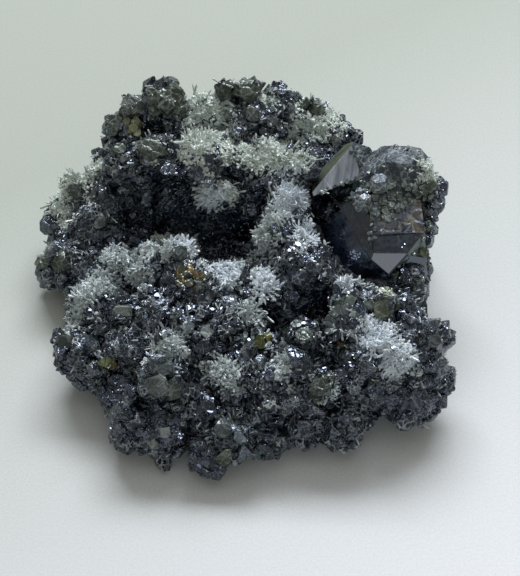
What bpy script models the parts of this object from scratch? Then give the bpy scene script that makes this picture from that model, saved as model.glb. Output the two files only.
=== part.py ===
"""Sphalerite specimen: a palm-sized chunk of black sphalerite crystals grown together, with an open
vug across its top, four large crystals at its right rear corner, and sprays of quartz needles.

Run it with: blender --background --python part.py
Frame: metres, +Z up, +X to the right, +Y to the rear. The origin is under the middle of the specimen,
on the surface it rests on. The tables below are in millimetres, and the last step moves the whole
specimen sideways by the small amount that brings its bounding box over the origin.
"""

import math
import random

import bmesh
import bpy
from mathutils import Matrix, Vector
from mathutils.bvhtree import BVHTree

MM = 0.001
SEED = 41

# --- Driving dimensions, in millimetres -------------------------------------------------------------
SEAM = 0.5  # open seam between the sphalerite and each mineral that sits on it
SMALLEST_DETAIL = 0.35  # edges shorter than this are closed up after a join
FLAT_ANGLE = 1.0  # degrees; faces that meet at less than this are made one
JITTER = 0.10  # how far each crystal face strays from its ideal distance, as a share
LOBE_SWELL = 1.06  # how much larger a lobe is built, to make up for its flat facets
CUTTER_SIDE = 300  # side of the slab that cuts the face the specimen rests on
CUTTER_DEPTH = 100

# --- Crystal habits ---------------------------------------------------------------------------------
# Sphalerite belongs to the isometric system. Each habit gives the distance of its faces from the
# centre, as a share of the crystal's radius.
FACE_FORMS = {
    "tetrahedron": [(1, 1, 1), (1, -1, -1), (-1, 1, -1), (-1, -1, 1)],
    "counter": [(-1, -1, -1), (-1, 1, 1), (1, -1, 1), (1, 1, -1)],
    "cube": [(1, 0, 0), (-1, 0, 0), (0, 1, 0), (0, -1, 0), (0, 0, 1), (0, 0, -1)],
    "dodecahedron": [
        axis
        for a in (-1, 1)
        for b in (-1, 1)
        for axis in ((a, b, 0), (a, 0, b), (0, a, b))
    ],
}
CRYSTAL_REACH = 1.5  # how far a crystal's corners may reach, as a share of its radius
HABITS = {
    "tetrahedral": {"tetrahedron": 0.68, "counter": 0.92},
    "blocky": {"cube": 0.80, "tetrahedron": 0.90},
    "rounded": {"dodecahedron": 0.90},
}

# --- The rough mass under the crystals: name, centre, radii -----------------------------------------
LOBES = (
    ("rear_ridge", (-3, 26, 11), (26, 11.5, 14)),
    ("left_flank", (-24, 12, 4), (13, 13, 8)),
    ("front_shelf", (-9, -14, 4), (22, 19, 10)),
    ("front_corner", (13, -17, 4), (10, 13, 9)),
    ("right_shelf", (25, -16, 5), (12, 10, 10)),
    ("pedestal", (26, 7, 6), (12, 14, 13)),
    ("middle_ridge", (9, 4, 6), (9, 14, 11)),
    ("vug_floor", (-4, 8, 1), (30, 16, 8)),
    ("valley_floor", (18, 17, 6), (8, 10, 9)),
    ("rear_wall", (-2, 31, 9), (22, 9, 13)),
    ("rear_foot_left", (-17, 34, 6), (8, 6, 8)),
    ("rear_foot_right", (12, 34, 7), (9, 6, 9)),
    ("right_side", (31, 2, 5), (5, 10, 8)),
    ("left_side", (-33, 16, 3), (6, 8, 6)),
)
# The vug: what is scooped out of the mass, as centre and radii.
VUG = (
    ((-7, 9, 17), (11, 6, 9)),
    ((-19, 8, 15), (9, 5, 7)),
    ((3, 10, 18), (7, 4, 9)),
    ((16, 8, 21), (3, 9, 8)),
)

# --- Knobs of crystal: name, centre, radius, habit, small crystals on it ----------------------------
KNOBS = (
    ("rear_knob", (-14.8, 33.7, 26.5), 4.6, "blocky", 0),
    ("rear_knob_foot", (-12.5, 32.0, 23.0), 4.2, "rounded", 0),
    ("rear_left_crystal", (-21.2, 32.8, 25.5), 2.7, "rounded", 1),
    ("rear_left_dark", (-24.5, 31.2, 22.5), 2.8, "blocky", 0),
    ("rear_left_spur", (-21.3, 28.8, 24.5), 2.4, "tetrahedral", 0),
    ("rear_left_foot", (-22.5, 28.5, 19.0), 5.0, "rounded", 0),
    ("rear_middle", (-7.0, 34.5, 22.5), 4.4, "rounded", 0),
    ("rear_pair_left", (-2.6, 36.8, 26.5), 2.4, "rounded", 0),
    ("rear_pair_right", (1.6, 36.2, 27.0), 2.7, "tetrahedral", 0),
    ("rear_face", (2.6, 31.5, 24.0), 4.6, "blocky", 0),
    ("rear_right_slope", (9.0, 36.0, 21.0), 4.8, "rounded", 2),
    ("rear_right_shoulder", (14.8, 35.6, 19.0), 4.4, "rounded", 2),
    ("rear_right_corner", (19.0, 33.4, 18.0), 3.7, "blocky", 1),
    ("rear_right_inner", (14.4, 28.8, 17.0), 3.9, "rounded", 0),
    ("crest_left", (-15.6, 22.8, 23.5), 4.4, "rounded", 0),
    ("crest_far_left", (-21.0, 23.8, 20.0), 4.6, "rounded", 2),
    ("crest_middle", (-7.0, 21.8, 23.0), 5.6, "rounded", 0),
    ("crest_right", (4.0, 21.4, 22.0), 5.4, "rounded", 0),
    ("crest_far_right", (11.3, 20.6, 21.5), 4.2, "rounded", 2),
    ("wall_left", (-13.0, 20.0, 16.5), 4.4, "rounded", 0),
    ("wall_middle", (-3.5, 18.5, 18.0), 4.4, "rounded", 0),
    ("wall_right", (4.4, 18.6, 15.5), 4.0, "rounded", 0),
    ("wall_far_left", (-20.5, 20.4, 13.5), 4.6, "rounded", 2),
    ("left_shoulder", (-26.0, 25.0, 16.5), 4.0, "rounded", 2),
    ("left_block", (-26.5, 20.0, 12.5), 4.6, "blocky", 1),
    ("left_high", (-31.5, 23.0, 12.0), 4.0, "rounded", 2),
    ("left_edge_high", (-35.0, 21.6, 8.5), 3.8, "rounded", 1),
    ("left_middle", (-29.0, 15.2, 9.5), 4.8, "rounded", 0),
    ("left_edge", (-35.2, 15.6, 6.5), 3.8, "rounded", 0),
    ("left_low", (-33.4, 9.6, 6.5), 4.8, "rounded", 0),
    ("left_tip", (-37.0, 8.4, 5.0), 3.6, "rounded", 1),
    ("left_under", (-30.4, 4.2, 5.0), 4.2, "rounded", 1),
    ("left_notch", (-31.0, -1.5, 4.6), 3.4, "blocky", 0),
    ("middle_ridge_rear", (9.4, 13.6, 19.0), 4.0, "rounded", 0),
    ("middle_ridge_front", (8.6, 7.6, 17.6), 4.2, "rounded", 1),
    ("round_knob", (13.1, -1.0, 18.6), 5.4, "rounded", 0),
    ("round_knob_foot", (9.0, -3.6, 14.0), 4.6, "rounded", 0),
    ("middle_spray_seat", (4.2, -5.0, 16.0), 4.0, "rounded", 0),
    ("middle_spray_foot", (1.6, -10.6, 15.2), 3.4, "rounded", 1),
    ("lip_right", (-2.2, -2.6, 15.0), 4.0, "rounded", 0),
    ("lip_crystal", (-11.5, 0.4, 19.4), 2.6, "rounded", 0),
    ("brown_knob", (-8.6, -6.0, 16.6), 5.0, "rounded", 1),
    ("lip_left", (-17.2, 1.0, 15.0), 4.2, "rounded", 0),
    ("lip_far_left", (-23.4, 2.6, 12.6), 4.2, "rounded", 0),
    ("left_spray_seat", (-27.4, -4.6, 10.8), 4.8, "rounded", 0),
    ("six_sided", (-22.0, -10.0, 15.4), 2.8, "rounded", 0),
    ("dark_block", (-24.6, -11.2, 12.6), 3.2, "blocky", 0),
    ("front_left_mound", (-15.8, -10.2, 15.0), 4.6, "rounded", 0),
    ("front_mound", (-9.6, -12.6, 15.2), 4.2, "rounded", 0),
    ("front_right_mound", (-3.0, -12.6, 15.2), 3.8, "rounded", 2),
    ("grey_peg", (-5.8, -16.2, 17.0), 2.0, "blocky", 0),
    ("dark_left_knob", (-30.4, -13.8, 8.2), 4.6, "rounded", 2),
    ("dark_left_foot", (-27.6, -17.2, 6.6), 3.8, "rounded", 1),
    ("yellow_tip", (-24.5, -18.8, 10.4), 2.6, "tetrahedral", 0),
    ("front_left_lump", (-20.4, -15.4, 11.8), 4.4, "rounded", 2),
    ("front_lump", (-12.6, -17.4, 13.6), 4.2, "rounded", 0),
    ("grey_block", (-14.0, -23.6, 12.2), 4.8, "blocky", 1),
    ("front_dark_lump", (-6.2, -17.2, 13.0), 4.2, "rounded", 0),
    ("olive_crystal", (4.9, -17.3, 15.0), 3.0, "tetrahedral", 0),
    ("box_crystal", (12.0, -17.0, 15.6), 3.6, "blocky", 0),
    ("centre_lump", (1.0, -18.4, 13.4), 3.8, "rounded", 0),
    ("centre_spray_seat", (-1.6, -22.6, 11.4), 4.0, "rounded", 0),
    ("front_cluster_left", (5.8, -23.2, 12.2), 4.2, "rounded", 0),
    ("front_cluster_top", (10.6, -20.6, 13.2), 3.8, "rounded", 1),
    ("front_cluster_low", (6.4, -26.2, 8.8), 4.6, "rounded", 0),
    ("ring_crystal", (15.7, -24.6, 11.4), 3.1, "rounded", 0),
    ("front_cluster_foot", (12.0, -24.6, 8.2), 4.2, "rounded", 0),
    ("low_left_rear", (-20.6, -24.4, 7.2), 4.2, "rounded", 0),
    ("low_left_edge", (-19.6, -29.2, 5.4), 4.4, "rounded", 0),
    ("low_left_middle", (-14.6, -29.6, 5.8), 4.8, "rounded", 0),
    ("low_left_toe", (-13.8, -31.6, 3.4), 2.9, "blocky", 1),
    ("bottom_crystal", (-4.8, -27.0, 7.6), 3.6, "tetrahedral", 1),
    ("bottom_lobe", (-0.8, -31.0, 5.2), 4.7, "rounded", 0),
    ("bottom_tip", (-5.6, -34.6, 3.6), 3.4, "blocky", 1),
    ("bottom_right_toe", (4.8, -30.2, 3.8), 3.8, "rounded", 2),
    ("bottom_right_step", (11.4, -28.2, 3.8), 3.8, "rounded", 0),
    ("bottom_right_lobe", (19.4, -28.6, 4.6), 4.4, "rounded", 2),
    ("right_gap_floor", (20.8, -22.6, 6.4), 4.4, "rounded", 0),
    ("right_crystal", (22.0, -13.4, 17.0), 5.2, "blocky", 1),
    ("right_olive", (25.0, -10.2, 18.4), 3.6, "blocky", 0),
    ("right_middle", (23.6, -19.8, 14.2), 4.8, "rounded", 2),
    ("right_low", (25.6, -22.6, 9.0), 4.6, "rounded", 0),
    ("right_spray_seat", (28.4, -18.6, 15.0), 4.8, "rounded", 0),
    ("right_outer", (34.6, -15.4, 13.0), 4.8, "blocky", 2),
    ("right_outer_low", (34.6, -20.4, 8.6), 5.0, "rounded", 0),
    ("right_foot", (32.6, -23.4, 6.0), 5.1, "rounded", 2),
    ("right_top", (20.1, -6.4, 16.6), 2.8, "rounded", 1),
    ("right_link", (29.0, -8.0, 12.0), 5.0, "rounded", 0),
    ("back_left_low", (-19.0, 37.0, 7.0), 5.6, "blocky", 0),
    ("back_left_high", (-14.5, 37.0, 16.0), 5.4, "blocky", 0),
    ("back_middle_low", (-8.0, 39.0, 6.0), 6.0, "rounded", 0),
    ("back_middle_high", (-4.0, 38.0, 15.0), 5.2, "rounded", 0),
    ("back_right_low", (4.0, 39.0, 8.0), 5.6, "blocky", 0),
    ("back_right_high", (9.0, 37.0, 15.0), 4.8, "blocky", 0),
    ("back_corner_low", (15.0, 36.0, 7.0), 5.6, "rounded", 0),
    ("back_valley_low", (23.0, 27.0, 6.0), 5.4, "blocky", 0),
    ("side_right_rear", (31.0, 18.0, 6.0), 5.6, "rounded", 0),
    ("side_left_rear", (-26.5, 28.0, 9.0), 5.2, "rounded", 0),
    ("side_left_low", (-30.5, 23.0, 5.0), 4.8, "blocky", 0),
    # Among the large crystals.
    ("rim_upper", (36.4, 16.0, 21.4), 2.9, "rounded", 0),
    ("rim_middle", (36.6, 12.0, 19.4), 2.8, "rounded", 0),
    ("rim_lower", (35.6, 7.8, 18.0), 2.6, "blocky", 0),
    ("foot_upper", (32.6, -0.4, 12.6), 4.2, "rounded", 0),
    ("foot_lower", (31.8, -3.4, 8.6), 4.2, "rounded", 0),
    ("foot_inner", (27.6, -2.6, 9.4), 3.6, "blocky", 0),
    ("rear_filler", (26.8, 16.8, 19.0), 3.9, "blocky", 0),
    ("top_spur", (27.2, 13.6, 25.4), 2.2, "blocky", 0),
    ("ridge_spur", (24.0, 11.4, 23.6), 1.9, "rounded", 0),
)
SATELLITE_SHARE = (0.34, 0.52)  # radius of a small crystal, as a share of its knob's
SATELLITE_HABITS = ("tetrahedral", "blocky")
SATELLITE_SINK = 0.93  # how far out its centre sits, as a share of the knob's radius
SATELLITE_TOP, SATELLITE_SPAN = 0.95, 1.15  # heights they cover, from the top down, as shares too
GOLDEN_ANGLE = math.pi * (3 - math.sqrt(5))  # turn from each small crystal to the next

# --- The large crystals: name, centre, radius, and face planes as (outward direction, distance) -----
LARGE_CRYSTALS = (
    (
        "leaning_wedge",
        (21.5, 19.0, 23.0),
        (
            ((-0.10, -0.63, 0.77), 2.0),
            ((-0.70, 0.13, 0.70), 3.4),
            ((0.50, -0.40, 0.78), 2.8),
            ((0.35, -0.85, -0.40), 2.3),
            ((-0.60, 0.75, 0.20), 4.2),
            ((0.10, 0.90, 0.42), 5.0),
            ((0.80, 0.50, 0.30), 6.0),
            ((-0.90, -0.10, -0.42), 7.6),
            ((0, 0, -1), 9),
        ),
    ),
    (
        "domed_crystal",
        (31.2, 17.4, 24.0),
        (
            ((0.00, 0.10, 0.99), 5.4),
            ((0.66, 0.16, 0.73), 5.6),
            ((-0.60, 0.25, 0.75), 5.6),
            ((0.05, 0.80, 0.60), 5.2),
            ((-0.20, -0.76, 0.62), 5.4),
            ((0.46, -0.66, 0.60), 5.6),
            ((0.98, 0.05, 0.10), 6.0),
            ((0.88, 0.00, -0.47), 6.0),
            ((0.70, 0.70, 0.10), 6.0),
            ((-0.60, 0.78, 0.10), 6.0),
            ((-0.90, 0.00, -0.43), 6.4),
            ((0.10, -0.90, -0.43), 6.4),
            ((0, 0, -1), 9),
        ),
    ),
    (
        "front_crystal",
        (29.0, 7.0, 17.6),
        (
            ((0, -0.42, 0.91), 4.3),
            ((0, -0.66, 0.75), 5.4),
            ((-0.62, -0.33, 0.71), 5.4),
            ((-0.40, -0.87, 0.28), 7.8),
            ((0.52, -0.83, 0.20), 7.0),
            ((0.60, -0.70, 0.39), 6.8),
            ((0.98, 0.05, 0.10), 6.7),
            ((0.94, 0.15, -0.30), 6.9),
            ((0, -0.86, -0.51), 8.4),
            ((-0.60, -0.52, -0.61), 9.4),
            ((-0.75, 0.62, 0.25), 13.4),
            ((-0.95, -0.10, -0.30), 12.4),
            ((0.30, 0.94, 0.15), 6.0),
            ((-0.50, 0.85, 0.15), 9.4),
            ((0, 0, -1), 10),
        ),
    ),
    (
        "lower_crystal",
        (31.0, 2.4, 11.6),
        (
            ((0.20, -0.35, 0.92), 5.0),
            ((-0.66, -0.50, 0.56), 5.4),
            ((0.75, -0.30, 0.58), 5.2),
            ((0.96, 0.20, -0.20), 4.8),
            ((0.20, -0.97, 0.10), 5.4),
            ((-0.80, -0.58, -0.10), 5.8),
            ((-0.20, -0.60, -0.77), 6.0),
            ((0, 1, 0), 6),
            ((0, 0, -1), 7),
        ),
    ),
)
LARGE_REACH = 20  # half the side of the cube that a large crystal is cut from

# --- Quartz: each node is a patch of bursts, one burst as (x, y, z near its seat, needle length) ----
QUARTZ = {
    "quartz_druse_rear": ((-8.8, 33.0, 27.0, 2.9), (-6.0, 33.0, 26.5, 2.9), (-3.5, 33.0, 25.5, 2.4)),
    "quartz_crest_left": ((-10.0, 22.0, 28.5, 2.9), (-6.6, 21.5, 29.0, 2.9)),
    "quartz_crest_middle": ((-0.8, 20.8, 27.0, 2.7), (2.4, 18.8, 26.5, 2.5)),
    "quartz_crest_right": ((8.0, 21.0, 26.5, 3.0), (11.2, 19.2, 25.0, 2.9)),
    "quartz_rear_right": ((13.0, 30.5, 23.5, 2.5), (16.5, 31.5, 23.2, 2.6)),
    "quartz_rear_wall": ((-8.0, 14.5, 19.0, 2.7), (-5.5, 15.0, 21.0, 2.7), (-2.8, 15.5, 21.0, 2.6)),
    "quartz_spray_centre": (
        (9.2, 14.0, 23.5, 2.9),
        (11.0, 11.0, 22.5, 2.9),
        (7.6, 8.6, 21.8, 2.9),
    ),
    "quartz_spray_ridge": ((3.0, 6.0, 18.5, 2.6), (4.8, 3.2, 17.5, 2.3)),
    "quartz_spray_hollow": ((13.5, 3.5, 23.0, 2.8),),
    "quartz_spray_middle": ((4.8, -7.4, 19.5, 2.9), (2.0, -12.0, 17.5, 3.0)),
    "quartz_druse_middle": ((-2.0, -4.5, 18.5, 2.6),),
    "quartz_spray_left_ridge": ((-23.5, 1.8, 17.5, 2.8), (-20.2, -1.0, 18.5, 2.8)),
    "quartz_spray_vug_lip": (
        (-15.5, 2.0, 21.0, 2.8),
        (-12.4, 2.0, 22.0, 2.9),
        (-9.0, 1.4, 21.0, 2.8),
    ),
    "quartz_spray_left": ((-27.0, -4.0, 15.5, 3.0), (-29.2, -6.0, 14.5, 3.0)),
    "quartz_druse_front_left": ((-14.5, -20.0, 16.5, 2.7), (-12.0, -19.0, 17.5, 2.7)),
    "quartz_druse_front": ((-4.5, -22.0, 15.0, 2.6), (-2.0, -24.0, 14.5, 2.5)),
    "quartz_druse_right": ((25.5, -18.5, 19.5, 2.8), (27.4, -21.0, 18.5, 3.0), (29.0, -24.0, 17.5, 2.7)),
    "quartz_spray_right": ((20.0, -6.5, 19.5, 2.4),),
    "quartz_druse_small": ((8.0, -22.0, 16.5, 2.1),),
    "quartz_crust_left_upper": ((-33.0, 22.5, 16.0, 2.4), (-31.0, 23.5, 17.0, 2.4)),
    "quartz_crust_left_lower": ((-36.0, 19.0, 11.5, 2.3), (-35.5, 17.0, 11.0, 2.3)),
    "quartz_tip_right": ((36.5, 15.0, 27.0, 1.8),),
}
BURST_CORE = 0.50  # radius of the solid middle of a burst, as a share of its needle length
CRUST = 0.36  # radius of the crust that joins two bursts, as a share of the needle length
CRUST_SIDES = 5
BURST_RISE = 0.20  # how far that middle is lifted off the seam, as a share of the needle length
TIPS = (0.78, 1.0)  # how far out the needle points reach, as shares of the needle length

MATERIALS = {
    "black_sphalerite": ((0.028, 0.030, 0.034), 0.16, 0.0),
    "quartz": ((0.70, 0.73, 0.70), 0.22, 0.0),
}


def clear_scene():
    for obj in list(bpy.data.objects):
        bpy.data.objects.remove(obj)


def new_collection(name, parent):
    collection = bpy.data.collections.new(name)
    parent.children.link(collection)
    return collection


def principled(name):
    colour, roughness, metallic = MATERIALS[name]
    material = bpy.data.materials.new(name)
    material.use_nodes = True
    shader = material.node_tree.nodes["Principled BSDF"]
    shader.inputs["Base Color"].default_value = (*colour, 1.0)
    shader.inputs["Roughness"].default_value = roughness
    shader.inputs["Metallic"].default_value = metallic
    return material


def cut_by_planes(planes, reach):
    """A convex crystal: a cube of half-width reach, cut by each (direction, distance) in turn."""
    bm = bmesh.new()
    bmesh.ops.create_cube(bm, size=2 * reach)
    for direction, distance in planes:
        normal = Vector(direction).normalized()
        cut = bmesh.ops.bisect_plane(
            bm,
            geom=bm.verts[:] + bm.edges[:] + bm.faces[:],
            plane_co=normal * distance,
            plane_no=normal,
            clear_outer=True,
        )
        rim = [e for e in cut["geom_cut"] if isinstance(e, bmesh.types.BMEdge)]
        if rim:
            bmesh.ops.contextual_create(bm, geom=rim)
    bmesh.ops.recalc_face_normals(bm, faces=bm.faces[:])
    return bm


def habit_planes(habit, radius, rng):
    """The faces of one crystal of this habit, each at its own slightly uneven distance."""
    return [
        (normal, radius * share * (1 + rng.uniform(-JITTER, JITTER)))
        for form, share in HABITS[habit].items()
        for normal in FACE_FORMS[form]
    ]


def random_turn(rng):
    axis = Vector((rng.gauss(0, 1), rng.gauss(0, 1), rng.gauss(0, 1))).normalized()
    return Matrix.Rotation(rng.uniform(0, 2 * math.pi), 4, axis)


def object_from(bm, name, collection):
    mesh = bpy.data.meshes.new(name)
    bm.to_mesh(mesh)
    bm.free()
    obj = bpy.data.objects.new(name, mesh)
    collection.objects.link(obj)
    return obj


def place_crystal(name, centre, radius, habit, rng, grow, collection):
    """One crystal of a habit, turned at random; grow makes it bigger all round for a cutter."""
    reach = CRYSTAL_REACH * radius
    bm = cut_by_planes(habit_planes(habit, radius * MM, rng), reach * MM)
    turn = random_turn(rng)
    bm.transform(Matrix.Scale(1 + CRYSTAL_REACH * grow / radius, 4))
    bm.transform(Matrix.Translation(Vector(centre) * MM) @ turn)
    return object_from(bm, name, collection)


def place_knob(knob, grow, collection):
    """A knob's own crystal, and its small crystals spaced evenly over its upper side."""
    name, centre, radius, habit, count = knob
    rng = random.Random(f"{SEED} {name}")
    place_crystal(name, centre, radius, habit, rng, grow, collection)
    start = rng.uniform(0, 2 * math.pi)
    for i in range(count):
        height = SATELLITE_TOP - SATELLITE_SPAN * (i + 0.5) / count
        around = start + GOLDEN_ANGLE * i
        flat = math.sqrt(1 - height * height)
        out = Vector((flat * math.cos(around), flat * math.sin(around), height))
        small = radius * rng.uniform(*SATELLITE_SHARE)
        spot = Vector(centre) + out * radius * SATELLITE_SINK
        place_crystal(
            f"{name}_{i}", spot, small, rng.choice(SATELLITE_HABITS), rng, grow, collection
        )


def ellipsoid(name, centre, radii, grow, collection):
    bm = bmesh.new()
    bmesh.ops.create_icosphere(bm, subdivisions=1, radius=LOBE_SWELL)
    size = Matrix.Diagonal([(r + grow) * MM for r in radii]).to_4x4()
    bm.transform(Matrix.Translation(Vector(centre) * MM) @ size)
    return object_from(bm, name, collection)


def boolean(obj, operation, operand):
    """Joins or cuts obj with an object or with everything in a collection."""
    modifier = obj.modifiers.new(operation.lower(), "BOOLEAN")
    modifier.operation = operation
    modifier.solver = "EXACT"
    if isinstance(operand, bpy.types.Collection):
        modifier.operand_type = "COLLECTION"
        modifier.collection = operand
    else:
        modifier.object = operand


def freeze(obj):
    """Applies obj's modifiers, keeps its one largest body, and closes up the shortest edges."""
    graph = bpy.context.evaluated_depsgraph_get()
    mesh = bpy.data.meshes.new_from_object(obj.evaluated_get(graph))
    obj.modifiers.clear()
    bm = bmesh.new()
    bm.from_mesh(mesh)
    bmesh.ops.dissolve_limit(
        bm, angle_limit=math.radians(FLAT_ANGLE), verts=bm.verts[:], edges=bm.edges[:]
    )
    bmesh.ops.triangulate(bm, faces=bm.faces[:])
    close_short_edges(bm)
    keep_largest_body(bm)
    bm.to_mesh(mesh)
    bm.free()
    obj.data = mesh
    return obj


def close_short_edges(bm):
    """Pulls the ends of each very short edge together, wherever that leaves the surface closed."""
    while True:
        moved = {}
        busy = set()
        for edge in sorted(bm.edges, key=lambda e: (e.calc_length(), e.index)):
            if edge.calc_length() > SMALLEST_DETAIL * MM:
                break
            a, b = edge.verts
            near_a = {e.other_vert(a) for e in a.link_edges}
            near_b = {e.other_vert(b) for e in b.link_edges}
            if len(near_a & near_b) == 2 and not (near_a | near_b) & busy:
                moved[b] = a
                busy |= near_a | near_b
        if not moved:
            return
        bmesh.ops.weld_verts(bm, targetmap=moved)
        bm.edges.index_update()


def keep_largest_body(bm):
    """Deletes sealed pockets and crumbs that a join leaves behind."""
    left = set(bm.verts)
    bodies = []
    while left:
        body = {left.pop()}
        edge = list(body)
        while edge:
            near = {e.other_vert(v) for v in edge for e in v.link_edges} - body
            body |= near
            edge = list(near)
        left -= body
        bodies.append(body)
    bodies.sort(key=len)
    crumbs = [v for body in bodies[:-1] for v in body]
    bmesh.ops.delete(bm, geom=crumbs, context="VERTS")


def tree_of(obj):
    bm = bmesh.new()
    bm.from_mesh(obj.data)
    tree = BVHTree.FromBMesh(bm)
    bm.free()
    return tree


def floor_cutter(collection):
    """A slab under z = 0: what it takes off leaves the face that the specimen rests on."""
    bm = bmesh.new()
    bmesh.ops.create_cube(bm, size=1.0)
    size = Matrix.Diagonal((CUTTER_SIDE * MM, CUTTER_SIDE * MM, CUTTER_DEPTH * MM, 1))
    bm.transform(Matrix.Translation((0, 0, -CUTTER_DEPTH / 2 * MM)) @ size)
    return object_from(bm, "floor_cutter", collection)


def place_large_crystal(crystal, grow, collection):
    name, centre, planes = crystal
    bm = cut_by_planes([(n, (d + grow) * MM) for n, d in planes], LARGE_REACH * MM)
    bm.transform(Matrix.Translation(Vector(centre) * MM))
    return object_from(bm, name, collection)


def sphalerite_mass(name, grow, part, helpers):
    """The mass: rough lobes with the vug scooped out, joined with every crystal grown on them."""
    lobes = new_collection(f"{name}_lobes", helpers)
    vug = new_collection(f"{name}_vug", helpers)
    knobs = new_collection(f"{name}_knobs", helpers)
    first, *others = LOBES
    mass = ellipsoid(name, first[1], first[2], grow, part)
    for lobe, centre, radii in others:
        ellipsoid(lobe, centre, radii, grow, lobes)
    for i, (centre, radii) in enumerate(VUG):
        ellipsoid(f"vug_{i}", centre, radii, -grow, vug)
    for knob in KNOBS:
        place_knob(knob, grow, knobs)
    for crystal in LARGE_CRYSTALS:
        place_large_crystal(crystal, grow, knobs)
    boolean(mass, "UNION", lobes)
    boolean(mass, "DIFFERENCE", vug)
    boolean(mass, "UNION", knobs)
    boolean(mass, "DIFFERENCE", floor_cutter(helpers))
    return freeze(mass)


def quartz_burst(name, centre, reach, rng, collection):
    """A burst of quartz points: a twenty-sided core with one point drawn out of each side."""
    bm = bmesh.new()
    bmesh.ops.create_icosphere(bm, subdivisions=1, radius=BURST_CORE * reach)
    tips = bmesh.ops.poke(bm, faces=bm.faces[:])["verts"]
    for tip in tips:
        tip.co = tip.co.normalized() * reach * rng.uniform(*TIPS)
    bm.transform(Matrix.Translation(centre) @ random_turn(rng))
    return object_from(bm, name, collection)


def quartz_crust(name, start, end, radius, collection):
    """A thick rod of quartz that joins one burst to the next."""
    along = end - start
    bm = bmesh.new()
    bmesh.ops.create_cone(
        bm, segments=CRUST_SIDES, radius1=radius, radius2=radius, depth=along.length, cap_ends=True
    )
    bm.transform(
        Matrix.Translation((start + end) / 2) @ along.to_track_quat("Z", "Y").to_matrix().to_4x4()
    )
    return object_from(bm, name, collection)


def quartz_patch(name, bursts, ground, cutter, part, helpers):
    """Bursts seated on the nearest sphalerite, joined, and cut back from it along an open seam."""
    rng = random.Random(f"{SEED} {name}")
    others = new_collection(f"{name}_bursts", helpers)
    patch = None
    last = None
    for i, (x, y, z, length) in enumerate(bursts):
        reach = length * MM
        seat, normal, _, _ = ground.find_nearest(Vector((x, y, z)) * MM)
        centre = seat + normal * (SEAM * MM + BURST_RISE * reach)
        made = quartz_burst(f"{name}_{i}", centre, reach, rng, others if patch else part)
        patch = patch or made
        if last:
            quartz_crust(f"{name}_crust_{i}", last, centre, CRUST * reach, others)
        last = centre
    patch.name = name
    if others.objects:
        boolean(patch, "UNION", others)
    boolean(patch, "DIFFERENCE", cutter)
    return freeze(patch)


def centre_on_origin(collection):
    """Moves the specimen sideways until the origin is under the middle of its bounding box."""
    points = [v.co for obj in collection.objects for v in obj.data.vertices]
    for axis in (0, 1):
        low = min(p[axis] for p in points)
        high = max(p[axis] for p in points)
        for point in points:
            point[axis] -= (low + high) / 2


def main():
    clear_scene()
    scene = bpy.context.scene.collection
    part = new_collection("sphalerite_specimen", scene)
    helpers = new_collection("cutters_and_operands", scene)
    mass = sphalerite_mass("sphalerite_mass", 0.0, part, helpers)
    mass.data.materials.append(principled("black_sphalerite"))
    grown_mass = sphalerite_mass("grown_mass", SEAM, helpers, helpers)
    ground = tree_of(mass)
    for name, bursts in QUARTZ.items():
        patch = quartz_patch(name, bursts, ground, grown_mass, part, helpers)
        patch.data.materials.append(principled("quartz"))
    centre_on_origin(part)
    for helper in helpers.all_objects:
        helper.hide_render = True
        helper.display_type = "WIRE"


main()
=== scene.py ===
"""Looks of the sphalerite specimen: black crystals, quartz needles, desk top, light and camera.

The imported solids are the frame: +X right, +Y to the rear, +Z up, with the origin under the middle
of the specimen. Lengths in the tables are millimetres. The places in BURSTS, LARGE_CRYSTALS and
SIDE_DRUSE are moved by SHIFT_Y to stand in that frame.
"""

import math

import bmesh
import bpy
import numpy as np
from mathutils import Matrix, Vector
from mathutils.bvhtree import BVHTree
from mathutils.kdtree import KDTree


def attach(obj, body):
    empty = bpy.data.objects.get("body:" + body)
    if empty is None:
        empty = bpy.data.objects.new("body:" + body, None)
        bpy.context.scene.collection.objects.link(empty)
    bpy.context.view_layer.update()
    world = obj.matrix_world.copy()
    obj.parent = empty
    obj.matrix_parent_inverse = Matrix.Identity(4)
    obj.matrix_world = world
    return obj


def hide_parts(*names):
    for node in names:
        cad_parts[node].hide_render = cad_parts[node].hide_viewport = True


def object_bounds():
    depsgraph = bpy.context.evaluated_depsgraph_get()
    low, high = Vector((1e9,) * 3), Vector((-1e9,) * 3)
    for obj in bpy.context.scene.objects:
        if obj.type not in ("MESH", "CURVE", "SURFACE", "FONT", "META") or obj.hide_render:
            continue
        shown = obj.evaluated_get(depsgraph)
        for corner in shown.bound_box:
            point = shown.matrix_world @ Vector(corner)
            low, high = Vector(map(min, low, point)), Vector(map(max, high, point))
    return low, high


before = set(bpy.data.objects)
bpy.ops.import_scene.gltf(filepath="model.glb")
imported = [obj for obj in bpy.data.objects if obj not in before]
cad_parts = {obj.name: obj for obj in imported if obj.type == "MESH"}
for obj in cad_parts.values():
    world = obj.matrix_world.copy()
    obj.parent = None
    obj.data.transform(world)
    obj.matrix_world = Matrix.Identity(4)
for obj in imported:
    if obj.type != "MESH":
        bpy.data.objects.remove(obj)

MM = 0.001
SHIFT_Y = -2.97  # added to the Y of the places in three tables
cad_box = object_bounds()
LOW, HIGH = (np.array(corner) for corner in cad_box)
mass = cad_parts["sphalerite_mass"]

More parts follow.
